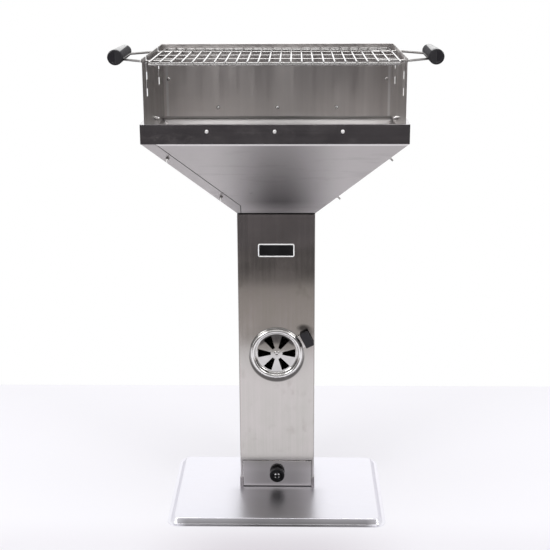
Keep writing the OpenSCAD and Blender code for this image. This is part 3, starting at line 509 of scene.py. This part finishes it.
def block(size, at):
    """A box of a size about a place, in mm."""
    bpy.ops.object.select_all(action="DESELECT")
    bpy.ops.mesh.primitive_cube_add(size=1.0, location=[c * MM for c in at])
    box = bpy.context.object
    box.scale = [length * MM for length in size]
    bpy.ops.object.transform_apply(location=True, scale=True)
    return box


def cut(obj, cutter):
    """Takes one shape out of another and throws it away."""
    shape(obj, "BOOLEAN", operation="DIFFERENCE", object=cutter, solver="EXACT")
    remove(cutter)


def turned(name, outline, steps, close=False):
    """A piece turned on a lathe about Z, from the radius and height of each point of its outline, in mm."""
    points = [(r * MM, h * MM) for r, h in outline]
    if close:
        points.append(points[0])
    bpy.ops.object.select_all(action="DESELECT")
    bpy.ops.mesh.primitive_plane_add(size=MM, location=(points[0][0], 0.0, points[0][1]))
    obj = bpy.context.object
    bpy.ops.object.transform_apply(location=True)
    open_up()
    bpy.ops.mesh.merge(type="CENTER")
    for (r0, h0), (r1, h1) in zip(points, points[1:]):
        bpy.ops.mesh.extrude_region_move(TRANSFORM_OT_translate={"value": (r1 - r0, 0.0, h1 - h0)})
    bpy.ops.mesh.select_all(action="SELECT")
    bpy.ops.mesh.spin(steps=steps, angle=math.tau, center=(0.0, 0.0, 0.0), axis=(0.0, 0.0, 1.0))
    bpy.ops.mesh.select_all(action="SELECT")
    bpy.ops.mesh.remove_doubles(threshold=2 * SAME_SPOT)
    bpy.ops.mesh.normals_make_consistent(inside=False)
    close_up()
    obj.name = name
    obj.data.name = name
    return obj


def arc(r, h, radius, start, stop, steps):
    """Points of an arc in an outline, angles in degrees from the outward direction."""
    turns = [math.radians(start + (stop - start) * i / steps) for i in range(steps + 1)]
    return [(r + radius * math.cos(t), h + radius * math.sin(t)) for t in turns]


def stood(direction, at):
    """A matrix that turns the lathe's Z to a direction and moves it to a place in mm."""
    turn = Vector(direction).to_track_quat("Z", "Y").to_matrix().to_4x4()
    return Matrix.Translation([c * MM for c in at]) @ turn


def put(obj, matrix):
    obj.data.transform(matrix)
    obj.data.update()
    return obj


# Folded sheet: the CAD sheet with its folds rounded and its cut edges eased

def merge_flats():
    """Merges doubles and takes out the triangles of flat faces."""
    bpy.ops.mesh.remove_doubles(threshold=SAME_SPOT)
    bpy.ops.mesh.dissolve_limited(angle_limit=FLAT)


def copied(node):
    """A merged copy of a CAD node, without what marks it as one."""
    obj = nodes[node].copy()
    obj.data = nodes[node].data.copy()
    for key in list(obj.keys()):
        del obj[key]
    obj.parent = None
    obj.name = node + "_folded"
    obj.data.name = obj.name
    scene.collection.objects.link(obj)
    open_up(obj)
    merge_flats()
    close_up()
    return obj


def folded(node, folds=(), ease=0.12, angle=30.0, joined=(), finish=None):
    """A CAD sheet with each fold rounded and its cut edges eased; joined nodes become one sheet with it.

    folds holds a test of an edge's two ends and bend, a radius in mm and a number of segments.
    """
    obj = copied(node)
    for other in joined:
        part = copied(other)
        shape(obj, "BOOLEAN", operation="UNION", object=part, solver="EXACT")
        remove(part)
    open_up(obj)
    merge_flats()
    for test, radius, segments in folds:
        if pick_edges(obj, test):
            bpy.ops.mesh.bevel(offset=radius * MM, segments=segments, affect="EDGES", clamp_overlap=True)
    close_up()
    shape(obj, "BEVEL", width=ease * MM, segments=2, limit_method="ANGLE", angle_limit=math.radians(40.0),
          use_clamp_overlap=True)
    even_shade(obj, angle)
    return fit(obj, node, *joined, finish=finish)


def level(*heights, within=0.3):
    """True for edges that lie level at one of the heights, in mm."""
    def test(a, b, bend):
        return any(abs(a.z - h * MM) < within * MM and abs(b.z - h * MM) < within * MM for h in heights)
    return test


def upright(x, y, within=0.25):
    """True for upright edges so far from the middle plane and behind the column's axis, in mm."""
    def test(a, b, bend):
        here = abs(abs(a.x) - x * MM) < within * MM and abs(a.y - (AXIS_Y + y) * MM) < within * MM
        return here and abs(a.x - b.x) < STRAIGHT and abs(a.y - b.y) < STRAIGHT and abs(a.z - b.z) > 2 * MM
    return test


def fold_column():
    folded("column_shell", [(upright(COLUMN_X, -COLUMN_Y), 1.7, 4),
                            (upright(COLUMN_X - SHEET, -COLUMN_Y + SHEET), 0.9, 3),
                            (upright(COLUMN_X, COLUMN_Y - SHEET), 1.5, 3),
                            (upright(COLUMN_X - SHEET, COLUMN_Y - 2 * SHEET), 0.7, 2)])
    folded("column_back", ease=0.3)
    hang_drawer(folded("drawer_tray", ease=0.25))
    for node in ("runner_left", "runner_right"):
        folded(node)


def hang_drawer(tray):
    """Lets the drawer's front show its slits: a wedge above that opens to the right, and a thin one below."""
    slit_left, slit_right, slit_low = 0.505, 1.595, 0.6
    front_depth, top_edge, low_edge = 1.2, 0.7, 0.9
    tray_x, (tray_low, tray_top) = high("drawer_tray", "X"), span("drawer_tray", "Z")
    for corner in tray.data.vertices:
        if corner.co.y < (FRONT_Y + front_depth) * MM:
            if corner.co.z > (tray_top - top_edge) * MM:
                along = (corner.co.x / MM + tray_x) / (2 * tray_x)
                corner.co.z -= (slit_left + (slit_right - slit_left) * along) * MM
            elif corner.co.z < (tray_low + low_edge) * MM:
                corner.co.z += slit_low * MM
    tray.data.update()


def fold_base():
    def pressed(a, b, bend):
        return 18 < bend < 80 and abs(a.z - b.z) < 0.2 * MM
    folded("base_plate", [(pressed, 1.6, 4)], ease=0.15)


def fold_funnel():
    for node in ("funnel_front", "funnel_right", "funnel_back", "funnel_left"):
        folded(node, [(level(RIM_Z, NECK_Z, within=1.2), 1.2, 3)])


def fold_rim():
    def long_fold(a, b, bend):
        return bend > 60 and abs(a.z - b.z) < STRAIGHT and (b - a).length > 200 * MM

    def low_fold(a, b, bend):
        return long_fold(a, b, bend) and a.z < (RIM_Z + 0.1) * MM

    for node in ("rim_front", "rim_right", "rim_back", "rim_left"):
        folded(node, [(low_fold, 0.9, 4), (long_fold, 0.45, 3)], ease=0.1)


def fold_walls():
    top_fold = (level(WALL_TOP), 0.35, 3)
    for side in ("left", "right"):
        parts = [f"wall_{side}_{part}" for part in ("front", "middle", "back")] + [f"flange_{side}"]
        folded(f"wall_{side}", [top_fold], ease=0.15, joined=parts)
    folded("wall_back", [top_fold], ease=0.15)


# Cooking grate: straight bars with rounded ends, welded where they cross

def bar(name, length, diameter):
    """A cut wire with eased ends, lying along Z about its middle."""
    r, half, ease = diameter / 2, length / 2, 0.6
    top = arc(r - ease, half - ease, ease, 0, 90, 3)
    outline = [(0, -half)] + [(p, -q) for p, q in reversed(top)] + top + [(0, half)]
    return turned(name, outline, steps=20)


def weave_grate():
    """24 bars over 5 cross wires and 2 edge wires, with a weld bead at each crossing."""
    along_x, along_y = stood((1, 0, 0), (0, 0, 0)), stood((0, 1, 0), (0, 0, 0))
    bars, crosses = 24, 5
    half_x = high("cooking_grate", "X") - BAR_D / 2
    half_y = round(high("cooking_grate", "Y") - AXIS_Y - EDGE_D / 2, 1)
    long_bar = put(bar("grate_bar", 2 * half_y + BAR_D, BAR_D), along_y)
    cross = put(bar("grate_cross", 2 * half_x + BAR_D, BAR_D), along_x)
    edge = put(bar("grate_edge", 2 * half_x + BAR_D, EDGE_D), along_x)
    weld_outline = [(0, -1.3), (0.9, -1.0), (1.35, -0.35), (1.35, 0.35), (0.9, 1.0), (0, 1.3)]
    weld = turned("weld", weld_outline, steps=10)
    dress(long_bar, "chrome_wire")
    for wire in (cross, edge, weld):
        dress(wire, "cross_wire")
    xs = [-half_x + 2 * half_x * i / (bars - 1) for i in range(bars)]
    ys = [-half_y + 2 * half_y * i / (crosses - 1) for i in range(crosses)]
    pieces = []

    def place(piece, x, y, z, k=1.0):
        at = Matrix.Translation((x * MM, (AXIS_Y + y) * MM, z * MM)) @ Matrix.Scale(k, 4)
        pieces.append(doubled(piece, at, "part"))

    for x in xs:
        place(long_bar, x, 0, BAR_Z)
    for y in ys:
        place(cross, 0, y, CROSS_Z)
    for y in (-half_y, half_y):
        place(edge, 0, y, EDGE_Z)
    for i, x in enumerate(xs):
        for j, y in enumerate(ys):
            uneven = 0.92 + 0.12 * ((i * 7 + j * 5) % 4) / 3
            place(weld, x, y, (BAR_Z + CROSS_Z) / 2, uneven)
            if j in (0, crosses - 1) and i % 2 == 0:
                place(weld, x, y, (CROSS_Z + EDGE_Z) / 2, 1.05)
    for piece in (long_bar, cross, edge, weld):
        remove(piece)
    fit(finished(fused("cooking_grate_bars", pieces)), "cooking_grate", dressed=True)


def bent_wire(name, corners, bend_r, wire_r, z):
    """A round wire in a level plane, straight between rounded corners; all in mm."""
    sides, steps = 20, 7
    points = [Vector((x, y, 0.0)) for x, y in corners]
    heading = (points[1] - points[0]).normalized()
    here = points[0]
    bpy.ops.object.select_all(action="DESELECT")
    bpy.ops.mesh.primitive_circle_add(vertices=sides, radius=wire_r * MM, fill_type="NOTHING",
                                      location=(here.x * MM, (AXIS_Y + here.y) * MM, z * MM))
    wire = bpy.context.object
    wire.rotation_mode = "QUATERNION"
    wire.rotation_quaternion = heading.to_track_quat("Z", "Y")
    bpy.ops.object.transform_apply(location=True, rotation=True)
    open_up()
    for corner, beyond in zip(points[1:-1], points[2:]):
        after = (beyond - corner).normalized()
        turn = heading.angle(after)
        reach = bend_r * math.tan(turn / 2)
        bend_start = corner - heading * reach
        bpy.ops.mesh.extrude_region_move(TRANSFORM_OT_translate={"value": (bend_start - here) * MM})
        left = heading.cross(after).z > 0
        pivot = bend_start + Vector((-heading.y, heading.x, 0.0)) * (bend_r if left else -bend_r)
        # Spin turns the other way
        bpy.ops.mesh.spin(steps=steps, angle=-turn if left else turn, axis=(0.0, 0.0, 1.0),
                          center=(pivot.x * MM, (AXIS_Y + pivot.y) * MM, z * MM))
        here, heading = corner + after * reach, after
    bpy.ops.mesh.extrude_region_move(TRANSFORM_OT_translate={"value": (points[-1] - here) * MM})
    bpy.ops.mesh.select_all(action="SELECT")
    bpy.ops.mesh.fill_holes(sides=0)
    close_up()
    wire.name = name
    wire.data.name = name
    shape(wire, "BEVEL", width=0.5 * MM, segments=2, limit_method="ANGLE", angle_limit=math.radians(60.0))
    return finished(wire)


def bend_handles():
    """Each handle runs out from under the grate, slants to its grip and back again."""
    bend_r, wire_r = 9.0, 2.5
    path = [(205, -96), (274, -96), (320, -55), (320, 55), (274, 96), (205, 96)]
    for side, x in (("left", -1), ("right", 1)):
        corners = [(x * out, y) for out, y in path]
        wire = bent_wire(f"handle_{side}_wire", corners, bend_r, wire_r, HANDLE_Z)
        fit(wire, f"handle_{side}", finish="handle_wire")


def mould_grips():
    """Tapered grips with an eased end, a shallow seat for the end plug and a groove for the wire."""
    end_y, last_y = span("grip_right", "Y")
    length, front, back = last_y - end_y, 16.3, 13.8
    groove_out, groove_w, groove_h = 322.8, 38.2, 5.6
    outline = ([(0, 0.3), (front - 5.2, 0.3), (front - 4.9, 0.0), (front - 2.4, 0.0)]
               + arc(front - 2.4, 2.4, 2.4, -90, 0, 7)
               + [(front + (back - front) * t, 2.4 + (length - 5.4) * t) for t in (0.2, 0.4, 0.6, 0.8)]
               + arc(back - 3.0, length - 3.0, 3.0, 0, 90, 7) + [(0, length)])
    for side, x in (("left", -1), ("right", 1)):
        grip = turned(f"grip_{side}_moulded", outline, steps=72)
        put(grip, stood((0, 1, 0), (x * GRIP_X, end_y, GRIP_Z)))
        groove = block((groove_w, 127, groove_h), (x * (groove_out - groove_w / 2), AXIS_Y, HANDLE_Z))
        shape(groove, "BEVEL", width=1.2 * MM, segments=3, limit_method="ANGLE")
        cut(grip, groove)
        fit(finished(grip, 32.0), f"grip_{side}")


# Air vent: spun cap with its six windows, rivet and tab

def on_front(z):
    """From the lathe to the column's front, at a height in mm."""
    return stood((0, -1, 0), (0.0, FRONT_Y, z))


def vent_window(turn):
    """A wedge between two radii that cuts one window, turned about the vent's axis."""
    opening, r_low, r_high = 27.5, 13.0, 42.0
    centre = ((r_low + r_high) / 2 * MM, 0.0, 2.0 * MM)
    bpy.ops.object.select_all(action="DESELECT")
    bpy.ops.mesh.primitive_plane_add(size=1.0, location=centre, rotation=(math.pi / 2, 0, 0))
    wedge = bpy.context.object
    wedge.scale = ((r_high - r_low) * MM, 10.0 * MM, 1.0)
    bpy.ops.object.transform_apply(location=True, rotation=True, scale=True)
    wedge.data.transform(Matrix.Rotation(math.radians(turn - opening / 2), 4, "Z"))
    open_up()
    bpy.ops.mesh.spin(steps=8, angle=-math.radians(opening), center=(0, 0, 0), axis=(0, 0, 1))
    bpy.ops.mesh.select_all(action="SELECT")
    bpy.ops.mesh.remove_doubles(threshold=SAME_SPOT)
    bpy.ops.mesh.select_all(action="DESELECT")
    bpy.ops.mesh.select_non_manifold()
    bpy.ops.mesh.fill_holes(sides=0)
    bpy.ops.mesh.select_all(action="SELECT")
    bpy.ops.mesh.normals_make_consistent(inside=False)
    close_up()
    return wedge


def spin_vent():
    """A domed disc with six windows in a rolled ring, on its rivet."""
    dome = [(r, 1.3 + 3.4 * (1 - (r / 47.0) ** 2)) for r in (7.0, 12.0, 18.0, 24.0, 30.0, 36.0, 42.0)]
    outer = ([(3.05, 4.75)] + dome + [(44.4, 1.32)]
             + arc(44.8, 3.3, 2.0, -85, -20, 4)
             + arc(53.0, 4.8, 4.6, 172, -12, 20)
             + [(57.65, 2.8), (58.2, 1.8), (59.0, 1.1), (60.0, 0.7), (60.0, 0.45)])
    inner = ([(58.9, 0.45), (58.0, 0.95), (57.2, 1.8), (56.85, 2.8)] + arc(53.0, 4.8, 3.8, -12, 165, 14)
             + [(48.2, 3.0), (46.6, 0.95), (44.2, 0.55)]
             + [(r, h - SHEET) for r, h in reversed(dome)] + [(3.05, 3.95)])
    cap = turned("vent_cap_spun", outer + inner, steps=120, close=True)
    cut(cap, fused("windows", [vent_window(60 * i) for i in range(6)]))
    fit(finished(put(cap, on_front(VENT_Z)), 28.0), "vent_cap", finish="vent_steel")
    rivet = turned("vent_rivet_head", [
        (0, -2.4), (4.6, -2.4), (5.7, -2.0), (6.0, -1.4), (6.0, -0.8), (3.0, -0.8), (3.0, 0.0), (6.0, 0.0),
        (6.0, 0.34), (3.0, 0.34), (3.0, 4.85), (6.0, 4.72), (6.0, 5.2), (5.4, 5.9), (4.2, 6.35), (2.6, 6.5),
        (2.2, 6.25), (1.4, 6.1), (0, 6.1)], steps=40)
    fit(finished(put(rivet, on_front(VENT_Z))), "vent_rivet", finish="vent_steel")


def press_plate():
    """The blank name plate: a bright bead round an enamelled field."""
    folded("name_plate_frame", ease=0.5, angle=50.0, finish="plate_bead")
    folded("name_plate_field", ease=0.2, angle=50.0)


def turn_knob():
    """The drawer's knob with grooves round its face, and four bright white domes on the face that stand in for
    painted glints.
    """
    knob = turned("drawer_knob_turned", (
        [(2.5, 9.0), (2.5, 0.0), (8.2, 0.0), (9.0, 0.6), (9.0, 2.2)] + arc(11.2, 2.4, 2.2, 180, 130, 4)
        + [(12.6, 5.2), (15.2, 6.2)] + arc(14.6, 8.2, 2.4, -50, 0, 4) + arc(14.6, 12.6, 2.4, 0, 90, 6)
        + [(13.6, 15.0), (13.1, 14.0), (12.5, 13.8), (11.9, 14.0), (11.4, 14.95), (10.3, 14.95), (9.9, 14.1),
           (9.4, 13.8), (8.9, 14.1), (8.4, 14.8), (7.9, 14.8)]
        + [(7.4, 13.6), (6.6, 13.1), (4.4, 13.0), (2.2, 13.0), (0, 13.0), (0, 9.0)]), steps=72)
    seat = on_front(KNOB_Z)
    fit(finished(put(knob, seat)), "drawer_knob", finish="knob_black")
    # Bright white domes that stand in for painted glints, the upper two larger
    glint_domes = []
    for x, y, r in ((-3.7, 3.2, 2.2), (3.5, 3.2, 1.9), (-4.0, -4.2, 1.1), (4.2, -4.0, 1.1)):
        outline = [(0, 12.6), (r, 12.6), (r, 13.3)] + arc(r - 0.8, 13.4, 0.8, 0, 90, 4) + [(0, 14.3)]
        stud = turned("stud", outline, steps=20)
        glint_domes.append(put(stud, Matrix.Translation((x * MM, y * MM, 0.0))))
    glint_domes = finished(put(fused("drawer_knob_glint_domes", glint_domes), seat))
    dress(glint_domes, "bolt_white")
    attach(glint_domes, body_of["drawer_knob"])
    glint_domes.select_set(False)


def screw(head_r, head_h, shank_r, shank_l, crossed):
    """A pan-headed screw with a thread at its end and maybe a cross recess, its head above z = 0; in mm."""
    dome = [(head_r * math.cos(t) ** 0.7, head_h * (0.35 + 0.65 * math.sin(t) ** 0.9))
            for t in map(math.radians, (5, 18, 32, 46, 60, 74))]
    pitch, depth, plain_share = 0.7, 0.28, 0.45
    thread, h = [], -shank_l + 0.4
    while h < -plain_share * shank_l:
        thread += [(shank_r, h), (shank_r - depth, h + pitch / 2)]
        h += pitch
    outline = ([(0, -shank_l), (shank_r - 0.5, -shank_l)] + thread
               + [(shank_r, h), (shank_r, 0.0), (head_r - 0.25, 0.0), (head_r, 0.25)] + dome + [(0, head_h)])
    piece = turned("screw", outline, steps=20)
    long, short = 2 * 0.62 * head_r, 2 * 0.17 * head_r
    for size_x, size_y in ((long, short), (short, long)) if crossed else ():
        cut(piece, block((size_x, size_y, 1.1 * head_h), (0.0, 0.0, head_h)))
    return finished(piece)


def drive_screws(node, crossed=True, finish=None, head=1.0):
    """A finished screw in the place of each bolt of a node, turned a little differently each time.

    A bolt points the way of its largest face, and its tail is the end with the most corners in one plane.
    """
    open_up(copied(node))
    bpy.ops.mesh.separate(type="LOOSE")
    close_up()
    one_plane = 3e-5
    models, driven = {}, []
    for i, part in enumerate(list(bpy.context.selected_objects)):
        corners = [v.co.copy() for v in part.data.vertices]
        out = max(part.data.polygons, key=lambda face: face.area).normal.copy()
        along = [c.dot(out) for c in corners]
        rings = [[c for c, a in zip(corners, along) if abs(a - end) < one_plane]
                 for end in (min(along), max(along))]
        tail = max(rings, key=len)
        if tail is rings[1]:
            out = -out
        centre = sum(tail, Vector()) / len(tail)
        heights = [(c - centre).dot(out) for c in corners]
        radii = [(c - centre - out * h).length for c, h in zip(corners, heights)]
        head_r, shank_r = max(radii), (tail[0] - centre).length
        seat = min(h for h, r in zip(heights, radii) if r > 0.95 * head_r)
        key = round(seat / MM, 2)
        if key not in models:
            models[key] = screw(head * head_r / MM, (max(heights) - seat) / MM,
                                shank_r / MM, seat / MM, crossed)
        turn = Matrix.Rotation(0.7 * i, 4, "Z")
        driven.append(doubled(models[key], stood(out, (centre + out * seat) / MM) @ turn, "driven"))
        remove(part)
    for model in models.values():
        remove(model)
    fit(finished(fused(node + "_driven", driven)), node, finish=finish)


def ease_hardware():
    """Screws with rounded heads, and chamfers on nuts, rivets and small trim."""
    drive_screws("rim_bolts", crossed=False, finish="bolt_white", head=0.82)
    for node in ("seam_bolts", "corner_screws", "neck_screws", "base_bolts"):
        drive_screws(node)
    for node, ease in (("rim_nuts", 0.4), ("seam_nuts", 0.35), ("corner_nuts", 0.35), ("neck_nuts", 0.35),
                       ("base_nuts", 0.4)):
        folded(node, ease=ease, angle=50.0, finish="nut_steel")
    for node, ease in (("column_rivets", 0.4), ("rim_wing_nuts", 0.5), ("vent_arm", 0.25), ("vent_tab", 0.7),
                       ("column_clips", 0.2), ("charcoal_grate", 0.5)):
        folded(node, ease=ease, angle=50.0)


fold_column()
fold_base()
fold_funnel()
fold_rim()
fold_walls()
weave_grate()
bend_handles()
mould_grips()
spin_vent()
press_plate()
turn_knob()
ease_hardware()


# Stage: a pale floor, a white surround and the studio's darker front

def stage_plane(name, size_x, y_from, y_to, material):
    """A level plane on the ground, part of the picture but not of the grill."""
    bpy.ops.mesh.primitive_plane_add(size=1.0, location=(0.0, (y_from + y_to) / 2, 0.0))
    plane = bpy.context.object
    plane.scale = (size_x, y_to - y_from, 1.0)
    bpy.ops.object.transform_apply(location=True, rotation=True, scale=True)
    plane.name = name
    plane.data.materials.append(material)
    plane.select_set(False)
    return plane


def floor_paint(name, colour, share, shadow_colour=None):
    """A matt floor that shows its own colour, keeps part of the shadow and may have a painted shadow in front
    of the plate.
    """
    f = Finish(name)
    to_camera = f.ray("Is Camera Ray")
    shown = (*colour, 1.0)
    # Painted shadow in front of the plate, seen by the camera only
    if shadow_colour:
        across = f.ramp(f.from_middle(), 0.05, 0.33, 1.0, 0.3, smooth=True)
        ahead = f.ramp(f.axis("Y"), -0.3, -0.14, 1.0, 0.0, smooth=True)
        shown = f.colours(f.times(across, ahead, to_camera), colour, shadow_colour)
    matt = f.add("BsdfDiffuse", {"Color": shown}, "BSDF")
    glow = f.add("Emission", {"Color": shown}, "Emission")
    seen = f.times(f.calc("MAXIMUM", to_camera, f.ray("Is Glossy Ray")), share)
    floor = f.add("MixShader", {"Fac": seen, 1: matt, 2: glow}, "Shader")
    f.join(floor, f.tree.nodes["Material Output"].inputs["Surface"])
    return f.material


def lay_floor():
    """The white floor, and two strips before it that only polished metal reflects."""
    width, front, back = 14.0, -0.95, 0.56
    white = floor_paint("floor_white", (0.945, 0.935, 0.975), 0.6, shadow_colour=(0.72, 0.69, 0.73))
    stage_plane("floor", width, front, back, white)
    for name, y_from, y_to, colour in (("studio_near", -1.6, front, (0.44, 0.41, 0.395)),
                                       ("studio_far", -6.0, -1.6, (0.105, 0.097, 0.1))):
        strip = stage_plane(name, width, y_from, y_to, floor_paint(name, colour, 1.0))
        strip.visible_camera = False
        strip.visible_diffuse = False


def surround():
    """White to the camera; to polished metal, white behind and above and dim towards the studio's front."""
    world = bpy.data.worlds.new("studio")
    world.use_nodes = True
    scene.world = world
    world.node_tree.nodes.clear()
    w = Wiring(world.node_tree, "Generated")

    def light(colour, strength=1.0):
        return w.add("Background", {"Color": (*colour, 1.0), "Strength": strength}, "Background")

    def mixed(share, one, two):
        return w.add("MixShader", {"Fac": share, 1: one, 2: two}, "Shader")

    grey, dark = (0.55, 0.54, 0.54), (0.12, 0.115, 0.12)
    front = w.ramp(w.axis("Y"), -0.55, -0.1, 1.0, 0.0, smooth=True)
    low = w.ramp(w.axis("Z"), 0.1, 0.45, 1.0, 0.0, smooth=True)
    under = w.ramp(w.axis("Z"), -0.03, 0.0, 1.0, 0.0)
    room = mixed(front, light(WHITE, 0.97), light(grey))
    room = mixed(w.times(front, low), room, light(dark))
    room = mixed(under, room, light(dark))
    lit = mixed(w.ray("Is Glossy Ray"), light(WHITE, 0.6), room)
    lit = mixed(w.ray("Is Transmission Ray"), lit, light(WHITE))
    shown = mixed(w.ray("Is Camera Ray"), lit, light(WHITE))
    w.join(shown, w.tree.nodes.new("ShaderNodeOutputWorld").inputs["Surface"])


def softbox(name, at, look_at, size, watts):
    """A rectangular lamp that the camera doesn't see."""
    data = bpy.data.lights.new(name, "AREA")
    data.shape = "RECTANGLE"
    data.size, data.size_y = size
    data.energy = watts
    lamp = bpy.data.objects.new(name, data)
    scene.collection.objects.link(lamp)
    lamp.location = at
    lamp.rotation_euler = (Vector(look_at) - Vector(at)).to_track_quat("-Z", "Y").to_euler()
    lamp.visible_camera = False


def light_studio():
    softbox("overhead", (0.0, -0.1, 2.7), (0.0, 0.0, 0.5), (1.6, 1.2), 25.0)
    softbox("left", (-1.8, -1.6, 2.0), (0.0, 0.0, 0.6), (1.0, 1.2), 22.0)
    softbox("right", (1.9, -1.3, 1.9), (0.0, 0.0, 0.6), (0.8, 1.0), 14.0)
    softbox("behind", (0.0, 3.0, 1.5), (0.0, 0.0, 1.0), (3.2, 0.8), 4.0)


def set_camera():
    """The photograph's camera, from its fitted place, turn and focal length."""
    place = (0.0425, -2.22455, 1.2156)
    yaw, pitch, roll = 0.0205, 0.2554, -0.0047
    focal_pixels, picture_pixels, sensor = 1051.7, 550, 36.0
    ahead = Vector((-math.sin(yaw), math.cos(yaw), 0.0))
    right = Vector((math.cos(yaw), math.sin(yaw), 0.0))
    up = Vector((0.0, 0.0, 1.0))
    forward = math.cos(pitch) * ahead - math.sin(pitch) * up
    above = math.sin(pitch) * ahead + math.cos(pitch) * up
    side = math.cos(roll) * right + math.sin(roll) * above
    top = -math.sin(roll) * right + math.cos(roll) * above
    data = bpy.data.cameras.new("camera")
    data.sensor_width = sensor
    data.lens = focal_pixels / picture_pixels * sensor
    data.shift_y = -0.1
    camera = bpy.data.objects.new("camera", data)
    scene.collection.objects.link(camera)
    camera.matrix_world = Matrix.Translation(place) @ Matrix((side, top, -forward)).transposed().to_4x4()
    scene.camera = camera


set_camera()
lay_floor()
surround()
light_studio()
scene.view_settings.view_transform = "Standard"
